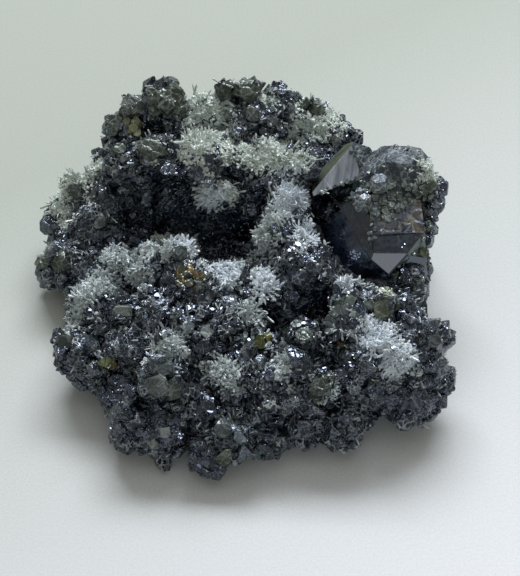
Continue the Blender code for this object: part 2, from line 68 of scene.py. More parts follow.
# --- The view. A place on the side it shows may be given by where it is in the picture: (across, down)
PICTURE = (520, 576)
CAMERA_TARGET = Vector((4.0, -5.97, 14.0)) * MM
CAMERA_ELEVATION = math.radians(52)
CAMERA_DISTANCE = 320 * MM
LENS, SENSOR = 104, 36  # millimetres, the sensor along the picture's long side
AWAY = Vector((0, -math.cos(CAMERA_ELEVATION), math.sin(CAMERA_ELEVATION)))
RIGHT = Vector((1, 0, 0))
UP = AWAY.cross(RIGHT)
CAMERA = CAMERA_TARGET + AWAY * CAMERA_DISTANCE
FOCAL = LENS / SENSOR * PICTURE[1]
PIXELS = FOCAL * MM / CAMERA_DISTANCE  # picture pixels to a millimetre at the specimen

# --- The lights: way to it from the specimen, then distance, width and height in metres, watts, colour
LIGHTS = {
    "window": ((0.06, 0.80, 0.78), 1.8, 1.60, 0.45, 33.0, "#f2f6ff"),
    "ceiling": ((0.0, 0.42, 0.91), 1.3, 1.7, 1.7, 3.6, "#f0f5ff"),
    "front_fill": ((0.0, -0.703, 0.711), 0.52, 0.2, 0.2, 0.175, "#d6def2"),
}

# --- The bursts of quartz needles, by CAD node: (x, y, z near a burst's seat, needle length) ---
BURSTS = {
    "quartz_druse_rear": ((-8.8, 33.0, 27.0, 2.9), (-6.0, 33.0, 26.5, 2.9), (-3.5, 33.0, 25.5, 2.4)),
    "quartz_crest_left": ((-10.0, 22.0, 28.5, 2.9), (-6.6, 21.5, 29.0, 2.9)),
    "quartz_crest_middle": ((-0.8, 20.8, 27.0, 2.7), (2.4, 18.8, 26.5, 2.5)),
    "quartz_crest_right": ((8.0, 21.0, 26.5, 3.0), (11.2, 19.2, 25.0, 2.9)),
    "quartz_rear_right": ((13.0, 30.5, 23.5, 2.5), (16.5, 31.5, 23.2, 2.6)),
    "quartz_rear_wall": ((-8.0, 14.5, 19.0, 2.7), (-5.5, 15.0, 21.0, 2.7), (-2.8, 15.5, 21.0, 2.6)),
    "quartz_spray_centre": ((9.2, 14.0, 23.5, 2.9), (11.0, 11.0, 22.5, 2.9), (7.6, 8.6, 21.8, 2.9)),
    "quartz_spray_ridge": ((3.0, 6.0, 18.5, 2.6), (4.8, 3.2, 17.5, 2.3)),
    "quartz_spray_hollow": ((13.5, 3.5, 23.0, 2.8),),
    "quartz_spray_middle": ((4.8, -7.4, 19.5, 2.9), (2.0, -12.0, 17.5, 3.0)),
    "quartz_druse_middle": ((-2.0, -4.5, 18.5, 2.6),),
    "quartz_spray_left_ridge": ((-23.5, 1.8, 17.5, 2.8), (-20.2, -1.0, 18.5, 2.8)),
    "quartz_spray_vug_lip": ((-15.5, 2.0, 21.0, 2.8), (-12.4, 2.0, 22.0, 2.9), (-9.0, 1.4, 21.0, 2.8)),
    "quartz_spray_left": ((-27.0, -4.0, 15.5, 3.0), (-29.2, -6.0, 14.5, 3.0)),
    "quartz_druse_front_left": ((-14.5, -20.0, 16.5, 2.7), (-12.0, -19.0, 17.5, 2.7)),
    "quartz_druse_front": ((-4.5, -22.0, 15.0, 2.6), (-2.0, -24.0, 14.5, 2.5)),
    "quartz_druse_right": ((25.5, -18.5, 19.5, 2.8), (27.4, -21.0, 18.5, 3.0), (29.0, -24.0, 17.5, 2.7)),
    "quartz_spray_right": ((20.0, -6.5, 19.5, 2.4),),
    "quartz_druse_small": ((8.0, -22.0, 16.5, 2.1),),
    "quartz_crust_left_upper": ((-33.0, 22.5, 16.0, 2.4), (-31.0, 23.5, 17.0, 2.4)),
    "quartz_crust_left_lower": ((-36.0, 19.0, 11.5, 2.3), (-35.5, 17.0, 11.0, 2.3)),
    "quartz_tip_right": ((36.5, 15.0, 27.0, 1.8),),
}

# --- The large crystals: centre, and face planes as (outward direction, distance, finish) ---
LARGE_CRYSTALS = {
    "leaning_wedge": ((21.5, 19.0, 23.0), (
        ((-0.10, -0.63, 0.77), 2.0, "pale"), ((-0.70, 0.13, 0.70), 3.4, "olive"),
        ((0.50, -0.40, 0.78), 2.8, "grey"), ((0.35, -0.85, -0.40), 2.3, "black"),
        ((-0.60, 0.75, 0.20), 4.2, "black"), ((0.10, 0.90, 0.42), 5.0, "olive"),
        ((0.80, 0.50, 0.30), 6.0, "black"), ((-0.90, -0.10, -0.42), 7.6, "black"),
        ((0, 0, -1), 9, "black"),
    )),
    "domed_crystal": ((31.2, 17.4, 24.0), (
        ((0.00, 0.10, 0.99), 5.4, "grey"), ((0.66, 0.16, 0.73), 5.6, "grey"),
        ((-0.60, 0.25, 0.75), 5.6, "grey"), ((0.05, 0.80, 0.60), 5.2, "olive"),
        ((-0.20, -0.76, 0.62), 5.4, "grey"), ((0.46, -0.66, 0.60), 5.6, "grey"),
        ((0.98, 0.05, 0.10), 6.0, "black"), ((0.88, 0.00, -0.47), 6.0, "black"),
        ((0.70, 0.70, 0.10), 6.0, "black"), ((-0.60, 0.78, 0.10), 6.0, "black"),
        ((-0.90, 0.00, -0.43), 6.4, "black"), ((0.10, -0.90, -0.43), 6.4, "black"),
        ((0, 0, -1), 9, "black"),
    )),
    "front_crystal": ((29.0, 7.0, 17.6), (
        ((0, -0.42, 0.91), 4.3, "black"), ((0, -0.66, 0.75), 5.4, "mirror"),
        ((-0.62, -0.33, 0.71), 5.4, "black"), ((-0.40, -0.87, 0.28), 7.8, "black"),
        ((0.52, -0.83, 0.20), 7.0, "black"), ((0.60, -0.70, 0.39), 6.8, "olive"),
        ((0.98, 0.05, 0.10), 6.7, "black"), ((0.94, 0.15, -0.30), 6.9, "black"),
        ((0, -0.86, -0.51), 8.4, "black"), ((-0.60, -0.52, -0.61), 9.4, "black"),
        ((-0.75, 0.62, 0.25), 13.4, "black"), ((-0.95, -0.10, -0.30), 12.4, "black"),
        ((0.30, 0.94, 0.15), 6.0, "black"), ((-0.50, 0.85, 0.15), 9.4, "black"),
        ((0, 0, -1), 10, "black"),
    )),
    "lower_crystal": ((31.0, 2.4, 11.6), (
        ((0.20, -0.35, 0.92), 5.0, "bronze"), ((-0.66, -0.50, 0.56), 5.4, "bronze"),
        ((0.75, -0.30, 0.58), 5.2, "olive"), ((0.96, 0.20, -0.20), 4.8, "black"),
        ((0.20, -0.97, 0.10), 5.4, "grey"), ((-0.80, -0.58, -0.10), 5.8, "black"),
        ((-0.20, -0.60, -0.77), 6.0, "black"), ((0, 1, 0), 6, "black"),
        ((0, 0, -1), 7, "black"),
    )),
}
COVER = 0.06  # how far the finished faces stand off the solid, in mm
BEVEL = 0.14  # width of their worn edges, in mm
SHARP = 0.15  # least angle of an edge that is worn, in radians
LARGE_REACH = 20  # half the side of the cube that a large crystal is cut from, in mm
SAME_WAY = 0.999  # least cosine between the normals of two faces that look the same way
SAME_HEIGHT = 0.001 * MM  # greatest difference between two faces that lie in one plane
# How much of each large crystal's surface small crystals may grow on.
ROUGH_SHARE = {"leaning_wedge": 0.0, "domed_crystal": 0.55, "front_crystal": 0.0, "lower_crystal": 0.05}
GROWTH_STEPS = (
    # crystal, face, picture line of the layer's rim, a picture point on it, thickness in mm, finish
    ("front_crystal", 2, ((344, 212), (369, 257)), (368, 225), 0.45, "bronze"),
    ("front_crystal", 2, ((354, 209), (372, 250)), (370, 225), 0.30, "bronze"),
    ("front_crystal", 0, ((376, 236), (424, 233)), (400, 215), 0.40, "amber"),
    ("front_crystal", 0, ((401, 206), (406, 240)), (384, 225), 0.30, "amber"),
    ("front_crystal", 0, ((384, 240), (392, 260)), (380, 248), 0.25, "bronze"),
    ("front_crystal", 4, ((392, 280), (424, 262)), (410, 262), 0.25, "black"),
    ("leaning_wedge", 0, ((344, 158), (352, 184)), (335, 176), 0.40, "pale"),
    ("leaning_wedge", 0, ((322, 176), (334, 192)), (320, 190), 0.30, "pale"),
)

# --- Single crystals: picture place, radius in mm, habit, colour, and for some the light they mirror ---
# Some rows are coloured pale grey-blue: painted reflection, for faces that catch the light. The blacks,
# browns and olives are the crystals' own colours.
FEATURES = (
    (159, 99, 2.6, "knob", "#22291b"), (171, 97, 2.6, "knob", "#1e2518"),
    (166, 105, 2.6, "knob", "#1c221a"), (179, 108, 1.9, "knob", "#262c24"),
    (157, 108, 1.9, "block", "#2c3132"), (133, 107, 2.2, "knob", "#303438"),
    (118, 124, 2.2, "knob", "#353b35"), (134, 128, 1.3, "splinter", "#9a9868"),
    (127, 121, 1.0, "splinter", "#7d7e56"), (138, 133, 0.9, "splinter", "#a9a87c"),
    (152, 149, 2.4, "knob", "#3f453f"), (120, 150, 1.8, "block", "#4b524b"),
    (226, 91, 1.9, "knob", "#22261f"), (247, 91, 2.1, "knob", "#282d24"),
    (236, 88, 1.3, "splinter", "#8b9485"), (252, 115, 2.6, "block", "#2c2f35", "front_fill"),
    (272, 122, 1.6, "splinter", "#35364a", "front_fill"), (262, 131, 1.3, "splinter", "#34364a"),
    (303, 104, 1.9, "knob", "#3a423b"), (316, 110, 1.7, "knob", "#31362f"),
    (335, 140, 1.4, "block", "#8b938f"), (76, 191, 1.6, "block", "#43484c", "front_fill"),
    (101, 222, 1.7, "block", "#3c4046", "front_fill"), (112, 231, 1.3, "splinter", "#4a4e58"),
    (62, 262, 2.2, "knob", "#2b2f2f"), (46, 262, 1.9, "knob", "#272b2b"),
    (124, 311, 1.7, "plate", "#858d86"), (66, 341, 1.8, "block", "#2a2f36"),
    (108, 363, 1.9, "splinter", "#6d6f3c"), (112, 366, 0.9, "splinter", "#7a5f34"),
    (159, 386, 2.9, "block", "#4f5759"), (166, 368, 2.0, "block", "#5b656f", "front_fill"),
    (172, 388, 2.0, "block", "#30363b"), (135, 369, 1.6, "block", "#4a5154"),
    (207, 332, 1.4, "plate", "#868c90"), (190, 326, 1.4, "splinter", "#7d8d9b", "front_fill"),
    (183, 275, 1.4, "knob", "#4a3c06"), (189, 270, 1.1, "splinter", "#a07c0e"),
    (195, 275, 1.1, "splinter", "#7a5e0a"), (190, 284, 1.3, "splinter", "#332808"),
    (202, 275, 0.9, "splinter", "#8a6c10"), (186, 280, 0.8, "splinter", "#c0961c"),
    (197, 288, 1.1, "knob", "#1c180c"), (199, 281, 1.2, "splinter", "#2a2208"),
    (180, 284, 1.1, "splinter", "#2c260c"), (180, 253, 1.8, "knob", "#4d565a"),
    (261, 342, 1.5, "splinter", "#62621c"), (268, 336, 1.2, "splinter", "#7c7c30"),
    (304, 336, 2.0, "block", "#2c333c"), (296, 326, 1.5, "block", "#2a323e"),
    (320, 328, 1.4, "plate", "#3c4652"), (345, 306, 1.7, "plate", "#59636a", "front_fill"),
    (367, 306, 1.6, "plate", "#4b5556"), (386, 294, 2.0, "plate", "#4a4d22"),
    (393, 304, 2.0, "plate", "#3d4122"), (381, 309, 1.7, "plate", "#60634b", "front_fill"),
    (341, 343, 1.0, "splinter", "#6f5a2a"), (321, 386, 2.4, "knob", "#0c1017"),
    (316, 396, 1.5, "block", "#3b4148", "front_fill"), (222, 428, 2.2, "block", "#46515c"),
    (240, 438, 1.4, "splinter", "#7c8a98", "front_fill"), (224, 456, 2.2, "splinter", "#4a4a38"),
    (433, 325, 1.9, "block", "#3c4356", "front_fill"), (433, 341, 1.9, "block", "#30364a"),
    (256, 453, 1.5, "block", "#5c707d", "front_fill"), (240, 455, 1.4, "splinter", "#586b77"),
    (165, 432, 1.4, "plate", "#8b9295", "front_fill"), (153, 442, 1.3, "plate", "#7b8285"),
    (423, 253, 1.4, "splinter", "#4f5a3c"), (352, 194, 1.1, "splinter", "#59636a"),
    (364, 188, 1.2, "splinter", "#4a5358"), (340, 200, 1.2, "splinter", "#2c3135"),
    (372, 184, 0.8, "splinter", "#7f8a86"), (380, 190, 0.7, "plate", "#8a938f"),
    (374, 198, 0.9, "splinter", "#747f7b"), (390, 184, 1.2, "splinter", "#5e6864"),
    (358, 186, 1.2, "plate", "#7c8b92"), (346, 190, 1.3, "plate", "#6e7d84"),
    (404, 184, 1.0, "splinter", "#707b74"), (424, 190, 1.3, "block", "#4a524a"),
    (432, 186, 1.2, "splinter", "#565f52"), (385, 212, 0.9, "splinter", "#8d9899"),
    (388, 219, 0.8, "splinter", "#7f8a8d"), (372, 206, 0.8, "splinter", "#6f7b80"),
    (374, 213, 0.7, "splinter", "#8b979a"), (373, 221, 0.7, "plate", "#76828a"),
    (375, 229, 0.8, "splinter", "#66737b"), (374, 237, 0.6, "splinter", "#7c8890"),
    (422, 206, 0.9, "splinter", "#5e6a68"), (427, 214, 0.8, "plate", "#6f7a78"),
    (428, 224, 0.8, "splinter", "#4c5656"), (331, 322, 1.5, "plate", "#69757d"),
    (336, 312, 1.3, "plate", "#7c888d"), (330, 332, 1.2, "splinter", "#5a6068"),
    (352, 300, 1.3, "plate", "#66706c"),
)
# Chips of sphalerite in a row along an edge, pale as worn chips and as painted highlight where the edge
# catches the light: the row's ends, how many, radius in mm, colour.
CHIP_ROWS_AND_EDGE_HIGHLIGHTS = (
    ((372, 201), (371, 240), 16, 0.42, "#8f9a9f"), ((371, 206), (376, 214), 6, 0.55, "#9aa5a6"),
    ((320, 192), (357, 179), 15, 0.42, "#86908f"), ((357, 179), (372, 188), 8, 0.55, "#6b7779"),
    ((426, 232), (420, 246), 6, 0.36, "#8d9898"), ((420, 246), (399, 268), 10, 0.30, "#808b8e"),
    ((344, 203), (370, 186), 9, 0.45, "#7c888a"), ((425, 205), (429, 230), 8, 0.50, "#59625c"),
    ((352, 152), (372, 176), 8, 0.40, "#707a7a"), ((343, 300), (318, 296), 8, 0.50, "#6d7778"),
)
# Chips of sphalerite strewn in a patch: middle, reach across and down, how many, radius in mm, colour.
CHIP_PATCHES = (
    (392, 203, 14, 9, 46, 0.50, "#87928f"), (410, 194, 12, 8, 26, 0.55, "#6a7470"),
    (388, 216, 6, 5, 12, 0.42, "#98a3a2"), (425, 192, 8, 9, 16, 0.60, "#515b51"),
    (356, 192, 12, 5, 18, 0.50, "#76838a"), (400, 282, 20, 14, 16, 0.50, "#353c36"),
    (133, 127, 8, 7, 18, 0.45, "#84824e"), (262, 340, 8, 6, 14, 0.40, "#5c5c1e"),
    (194, 280, 12, 9, 16, 0.42, "#4c3a08"), (190, 272, 9, 4, 9, 0.40, "#a07a10"),
)
# Single crystals that throw the window's light back: picture place and radius in mm.
GLINTS = (
    (225, 205, 0.8), (213, 207, 0.5), (247, 175, 0.7), (196, 311, 0.5), (222, 309, 0.42),
    (157, 296, 0.54), (90, 310, 0.6), (85, 313, 0.48), (236, 345, 0.5), (249, 340, 0.36),
    (298, 245, 0.78), (302, 240, 0.48), (293, 249, 0.48), (280, 243, 0.54), (289, 251, 0.48),
    (303, 324, 0.54), (393, 348, 0.6), (210, 411, 0.78), (218, 408, 0.48), (181, 196, 0.42),
    (268, 262, 0.42), (232, 300, 0.42), (128, 262, 0.36), (345, 366, 0.42), (404, 300, 0.42),
)
# Clouds of tiny ones: middle, reach, how many, the light that they throw back. They are also coloured
# pale blue-grey, a painted highlight.
SPARKLES = ((355, 254, 5.5, 30, "front_fill"), (402, 246, 3.0, 2, "window"))

# --- Quartz blades that stand out of the sprays: picture places of foot and tip, and width in mm ---
BLADES = (
    (188, 243, 201, 232, 0.80), (178, 241, 191, 233, 0.75), (184, 241, 195, 231, 0.50),
    (193, 250, 203, 245, 0.60), (193, 247, 198, 240, 0.45), (195, 254, 200, 251, 0.45),
    (150, 245, 141, 250, 0.60), (162, 244, 159, 238, 0.35), (166, 243, 165, 236, 0.35),
    (172, 242, 172, 237, 0.35), (175, 243, 176, 238, 0.35), (157, 245, 150, 240, 0.45),
    (270, 286, 278, 280, 0.45), (272, 288, 282, 290, 0.60), (272, 292, 281, 297, 0.80),
    (269, 294, 277, 302, 0.60), (265, 294, 263, 303, 0.50), (257, 295, 252, 303, 0.50),
    (262, 283, 256, 277, 0.50), (268, 283, 271, 275, 0.45), (262, 290, 254, 288, 0.50),
    (244, 307, 233, 305, 0.60), (243, 311, 231, 318, 0.70), (247, 313, 247, 327, 0.60),
    (249, 309, 257, 304, 0.50), (250, 312, 258, 316, 0.50), (243, 305, 241, 297, 0.50),
    (273, 213, 263, 208, 1.30), (269, 222, 259, 220, 0.75), (266, 228, 249, 234, 1.00),
    (292, 196, 300, 188, 0.60), (295, 197, 304, 192, 0.60), (296, 200, 307, 198, 0.65),
    (297, 203, 308, 203, 0.65), (296, 206, 308, 208, 0.65), (294, 208, 306, 212, 0.60),
    (284, 192, 275, 187, 0.60), (288, 190, 287, 180, 0.60), (282, 197, 273, 196, 0.60),
    (290, 191, 294, 182, 0.60), (306, 230, 317, 223, 0.60), (308, 232, 318, 232, 0.50),
    (309, 234, 322, 241, 0.80), (304, 227, 310, 221, 0.50), (303, 226, 304, 217, 0.50),
    (300, 231, 291, 230, 0.60), (304, 236, 303, 243, 0.50),
    (345, 288, 348, 278, 0.70), (343, 288, 338, 280, 0.50), (347, 288, 351, 281, 0.50),
    (341, 289, 334, 286, 0.45), (349, 289, 356, 286, 0.45),
    (97, 276, 94, 269, 0.50), (112, 286, 120, 290, 0.50), (101, 284, 92, 290, 0.55),
    (139, 262, 134, 256, 0.50), (113, 256, 108, 250, 0.50), (116, 255, 120, 247, 0.50),
    (200, 192, 189, 197, 0.55), (201, 196, 192, 206, 0.50), (204, 198, 196, 212, 0.50),
    (214, 190, 205, 186, 0.50), (234, 192, 241, 195, 0.60), (228, 190, 236, 186, 0.50),
    (226, 140, 233, 139, 0.60), (253, 141, 259, 143, 0.60), (196, 143, 189, 139, 0.50),
)

# --- Quartz druse: discs on the picture, as (across, down, radius) ---
DRUSE = {
    "quartz_druse_rear_mat": (
        (205, 103, 9), (215, 105, 10), (228, 99, 8), (236, 90, 6), (200, 115, 8), (212, 118, 9),
        (223, 112, 8), (190, 122, 6), (205, 128, 8), (215, 133, 8), (228, 136, 6), (265, 99, 6),
        (274, 102, 4), (300, 104, 4), (318, 112, 6), (330, 118, 7), (297, 124, 5), (310, 127, 7),
        (320, 130, 9), (333, 123, 7), (343, 128, 5), (300, 141, 4), (292, 134, 4), (335, 139, 5),
    ),
    "quartz_druse_crest_mat": (
        (185, 153, 7), (195, 150, 7), (205, 141, 7), (200, 160, 5), (190, 160, 5), (222, 142, 7),
        (232, 144, 7), (240, 150, 7), (250, 155, 8), (258, 164, 6), (270, 149, 10), (280, 152, 10),
        (275, 163, 9), (290, 160, 9), (300, 161, 8), (308, 163, 5), (282, 172, 7), (262, 155, 7),
    ),
    "quartz_druse_middle_mat": (
        (285, 185, 9), (290, 195, 11), (300, 200, 8), (285, 205, 8), (278, 211, 8), (270, 220, 8),
        (265, 230, 8), (257, 232, 5), (290, 212, 7), (262, 242, 8), (258, 250, 6), (305, 228, 7),
        (310, 236, 6), (295, 240, 5), (300, 246, 6), (280, 236, 5), (207, 172, 4), (208, 183, 4),
        (210, 192, 5), (218, 196, 5), (228, 194, 6), (205, 268, 3), (213, 270, 6), (222, 272, 8),
        (232, 272, 8), (228, 282, 7), (226, 290, 4), (238, 266, 5), (250, 262, 4), (258, 276, 7),
        (265, 275, 6), (268, 285, 5), (262, 268, 5), (342, 283, 5), (350, 290, 3),
    ),
    "quartz_druse_left_mat": (
        (150, 249, 7), (160, 244, 8), (170, 241, 6), (180, 241, 6), (190, 240, 6), (165, 252, 5),
        (195, 250, 5), (200, 262, 3), (105, 257, 5), (112, 258, 6), (130, 258, 6), (135, 266, 8),
        (140, 275, 8), (132, 272, 7), (148, 278, 6), (138, 285, 5), (113, 265, 4), (95, 280, 8),
        (105, 278, 8), (88, 290, 8), (85, 298, 8), (78, 308, 7), (75, 318, 6), (70, 326, 4),
        (115, 287, 6), (122, 290, 5), (130, 295, 5), (100, 290, 6), (65, 190, 7), (60, 201, 6),
        (65, 212, 6), (70, 180, 7), (80, 175, 7), (90, 170, 7), (99, 165, 5), (97, 208, 5),
        (88, 200, 3), (50, 246, 3), (43, 256, 3), (148, 150, 3), (158, 150, 3), (152, 160, 4),
    ),
    "quartz_druse_front_mat": (
        (185, 331, 6), (178, 340, 8), (172, 348, 9), (165, 355, 6), (180, 352, 7), (155, 343, 4),
        (158, 330, 3), (215, 370, 6), (222, 363, 8), (230, 370, 6), (212, 378, 3), (232, 382, 6),
        (238, 390, 5), (235, 310, 3), (243, 312, 5), (246, 320, 4), (245, 328, 3), (283, 360, 6),
        (281, 370, 5), (277, 377, 3), (283, 343, 3), (288, 350, 3), (290, 390, 4),
    ),
    "quartz_druse_right_mat": (
        (365, 322, 6), (375, 325, 9), (385, 330, 9), (372, 335, 9), (368, 342, 5), (382, 342, 9),
        (390, 352, 9), (385, 360, 7), (395, 365, 9), (390, 375, 6), (398, 380, 5), (405, 352, 7),
        (410, 362, 7), (418, 370, 6), (398, 345, 7), (352, 335, 4), (356, 316, 4), (430, 165, 5),
        (433, 175, 5),
    ),
}
# Quartz on the sides that the picture doesn't show: (x, y, z, radius).
SIDE_DRUSE = (
    (-10, 37, 24, 5), (3, 39, 21, 5), (13, 38, 17, 5), (-21, 34, 19, 4), (-34, 23, 10, 5),
    (-28, 29, 12, 4), (20, 33, 15, 4), (37, -18, 12, 4), (34, -8, 12, 3), (-32, -9, 7, 4),
    (-27, -17, 7, 3), (-3, 43, 12, 4), (8, 42, 8, 3), (36, 12, 14, 3), (-38, 13, 6, 3),
)
# Grains of quartz along the rim of a crystal face: middle, radius across and down, how many.
GRAIN_RINGS = ((321, 386, 13.5, 13, 90), (345, 318, 14, 15, 34))
# Where the sphalerite is clean and unworn, no grains of quartz lie, and its small crystals are darkened
# as painted shade: the vug, the black faces and the shaded front.
SHADED_CLEAN = (
    (165, 205, 34), (200, 225, 30), (232, 235, 24), (140, 215, 26), (110, 240, 16), (330, 235, 22),
    (150, 425, 32), (118, 392, 20), (402, 284, 15), (205, 395, 16), (275, 425, 14), (395, 405, 20),
    (60, 360, 14), (345, 250, 20), (325, 290, 16), (300, 300, 12), (190, 375, 10), (255, 310, 14),
    (345, 370, 10),
)
# Where the sphalerite is worn dull: the dome, and the band of chips below it.
DULL = ((395, 165, 36), (372, 160, 14), (425, 185, 22), (395, 200, 26), (350, 194, 14))
USUAL_WEAR = 0.6  # from 0, clean and bright, to 1, dull

# --- Colour of the quartz: palest and darkest, towards the rear, in front, and in the white patches. The greenish rear and the darker, greyer front are painted light, for the tint and strength of the light there ---
QUARTZ_TONES_AND_LIGHT = (("#f6fdf6", "#ccd8cd"), ("#e8f0ee", "#aebbbb"), ("#f6fdff", "#dfeaf2"))
# The white patches, as discs on the picture: (across, down, radius).
WHITE_QUARTZ = (
    (290, 195, 30), (302, 236, 18), (385, 345, 42), (222, 275, 20), (266, 286, 18), (346, 286, 12),
    (185, 244, 16), (214, 196, 16),
)

# --- Colour of the sphalerite crystals ---
BLACKS = ("#060a14", "#0a1020", "#101626", "#090d1b", "#161f30")
GREY, GREY_SHARE = "#3a4248", 0.10
# The tones of some parts, as discs on the picture: (across, down, radius, colour).
CRYSTAL_TONES = (
    (166, 97, 18, "#3c443a"), (135, 128, 8, "#8f9068"), (120, 125, 14, "#2c3029"),
    (250, 90, 12, "#343b35"), (290, 102, 34, "#3a4238"), (345, 118, 12, "#30332a"),
    (100, 200, 46, "#2c302d"), (150, 150, 26, "#33372f"), (70, 250, 34, "#24272a"),
    (193, 283, 18, "#221e0c"), (262, 342, 12, "#4d4a1c"), (305, 262, 24, "#2b2b20"),
    (108, 364, 9, "#5a5a30"), (161, 380, 24, "#515856"), (375, 300, 18, "#3c3f28"),
    (422, 290, 10, "#454c30"), (228, 452, 14, "#4c4d3a"), (124, 310, 9, "#5d665c"),
    (350, 225, 60, "#191a1e"), (250, 432, 18, "#38434c"), (372, 194, 26, "#6d7672"),
    (350, 196, 14, "#7b8684"), (410, 190, 18, "#4f5650"), (398, 158, 26, "#3f4a48"),
)

# --- The crust of small crystals: name, spots tried, least and most radius in mm, share under quartz ---
CRUST = (
    ("sphalerite_crystals_coarse", 1900, 1.3, 2.2, 0.0),
    ("sphalerite_crystals_middle", 6500, 0.75, 1.35, 0.05),
    ("sphalerite_crystals_fine", 7000, 0.4, 0.75, 0.12),
)
CRUST_SHAPES = 24  # different small crystals
CRUST_FOOT = 0.4  # nothing of it grows lower than this, in mm
CRUST_GAP = 1.3  # least distance to the next crystal, in radii
CRUST_SUNK = (-0.1, 0.45)  # how deep a crystal's middle lies, in radii
CRUST_STRETCH = (0.7, 1.3)  # its reach along each axis, in radii
LARGEST_ON_DOME = 1.2  # radius, in mm
PATCH = 4.5  # size of a patch in which some crystals grew in parallel, in mm
PARALLEL_SHARE = 0.25  # share of its crystals that did
PATCH_TURNS = 997  # how many turns the patches choose from
PATCH_STEPS = (73, 179, 283)  # from a patch's turn to those of its neighbours along X, Y and Z

# --- Quartz needles; lengths and radii in mm ---
NEEDLE_SHAPES = 8
BURST_NEEDLES = 140
BURST_TRIES = 320  # directions tried for them
BURST_FOOT = 1.5  # how far their feet stray from the burst's seat
BURST_RADII, STOUT_RADII, STOUT_LENGTHS = (0.13, 0.34), (0.3, 0.55), (0.4, 1.0)
SEAT_REACH = 2.4  # how far from a seat the crust is thin
MAT_SPOTS = 450000  # spots tried for the mats
MAT_GAP = 0.21  # least distance between two needles of a mat
MAT_SINK = 0.2  # how deep their feet stand
MAT_RADII, STUB_RADII, STUB_LENGTHS = (0.09, 0.24), (0.28, 0.55), (0.4, 0.8)
STUB_SHARE = 0.45  # share of a mat's needles that are stubs
GRAINS = 9000  # single grains tried
GRAIN_RADII, GRAIN_LENGTHS = (0.12, 0.26), (0.9, 1.7)
FOOT_SHADE = 0.9  # how bright a needle is at its foot, against its tip: painted shade where the needles crowd
MILKY, CLEAR = 0.08, 0.5  # how much light passes a needle, and a blade that stands alone

DESK_HALF = 1.5  # half the side of the desk top, in metres
ROOM_LIGHT, ROOM_STRENGTH = "#d5d2c6", 0.30

# Each job's own start for its random draws.
SEEDS = {
    "small_crystals": 7, "single_shapes": 3, "sphalerite_crystals_single": 31, "chips": 47,
    "sphalerite_chips": 41, "sparkles": 37, "sphalerite_crystals_bright": 33, "needles": 5,
    "sprays": 11, "mats": 23, "grains": 43, "blades": 29,
}


def draws(job):
    """The random draws of one job, the same on each run."""
    return np.random.default_rng(SEEDS[job])


def srgb(code):
    """An sRGB hex colour as linear RGBA."""
    channels = [int(code[i : i + 2], 16) / 255 for i in (1, 3, 5)]
    return [c / 12.92 if c <= 0.04045 else ((c + 0.055) / 1.055) ** 2.4 for c in channels] + [1.0]


# --- Materials ---
SHINE = "#d3dff3"  # the cool tint of sphalerite's shine
OLIVE_SHINE = "#c6d2c6"  # the warmer one of its larger, clearer crystals
NEUTRAL_SHINE = "#dadcdb"  # that of its one broad mirror face
# Pale rims of the intergrown crystals: partly wear, partly painted highlight on edges that catch the
# light.
RIM_WEAR_AND_HIGHLIGHT = "#bfc8c2"
SPHALERITE_IOR, QUARTZ_IOR = 2.37, 1.544
MOTTLE = 2.5  # size of the darker and paler patches of sphalerite, in mm
WEAR_GRAIN = 0.8  # size of its duller and brighter spots, in mm
RIM_DEPTH = 0.14  # how deep the seams between its intergrown crystals are, in mm
STREAK_LENGTH, STREAK_DEPTH = 8.0, 0.16  # of growth streaks: length to width, and depth in mm
DESK_GRAIN = 0.45  # size of the grain in the desk top's paint, in mm


def add(tree, kind, inputs=None, **settings):
    """Adds one node, of type "ShaderNode" and then kind. inputs gives each socket, by name or
    number, a value or the socket that feeds it. Map Range's sockets 1 to 4 are the range it reads
    and the range it gives, and a colour Mix's 0, 6 and 7 are its share and its two colours."""
    node = tree.nodes.new("ShaderNode" + kind)
    for key, value in settings.items():
        setattr(node, key, value)
    for key, value in (inputs or {}).items():
        if isinstance(value, bpy.types.NodeSocket):
            tree.links.new(value, node.inputs[key])
        else:
            node.inputs[key].default_value = value
    return node


def new_material(name, **plain):
    """A material, its node tree and its Principled shader, with that shader's own sockets set."""
    material = bpy.data.materials.new(name)
    material.use_nodes = True
    shader = material.node_tree.nodes["Principled BSDF"]
    for key, value in plain.items():
        shader.inputs[key.replace("_", " ")].default_value = value
    return material, material.node_tree, shader


def ramp(tree, factor, *stops):
    """A colour ramp of (place, hex colour) stops."""
    node = add(tree, "ValToRGB", {"Fac": factor})
    elements = node.color_ramp.elements
    while len(elements) < len(stops):
        elements.new(0.5)
    for element, (place, code) in zip(elements, stops):
        element.position = place
        element.color = srgb(code)
    return node.outputs["Color"]


def cells_of(tree, coords, size):
    """Uneven cells about size mm across: a random colour for each, and how near its rim is."""
    stray = add(tree, "TexNoise", {"Vector": coords, "Scale": 0.8 / (size * MM), "Detail": 2.0})
    bent = add(
        tree, "VectorMath", {0: stray.outputs["Color"], 1: (size * MM,) * 3, 2: coords},
        operation="MULTIPLY_ADD",
    ).outputs[0]
    where = {"Vector": bent, "Scale": 1 / (size * MM)}
    cells = add(tree, "TexVoronoi", where, feature="F1")
    rims = add(tree, "TexVoronoi", where, feature="DISTANCE_TO_EDGE")
    return cells.outputs["Color"], rims.outputs["Distance"]


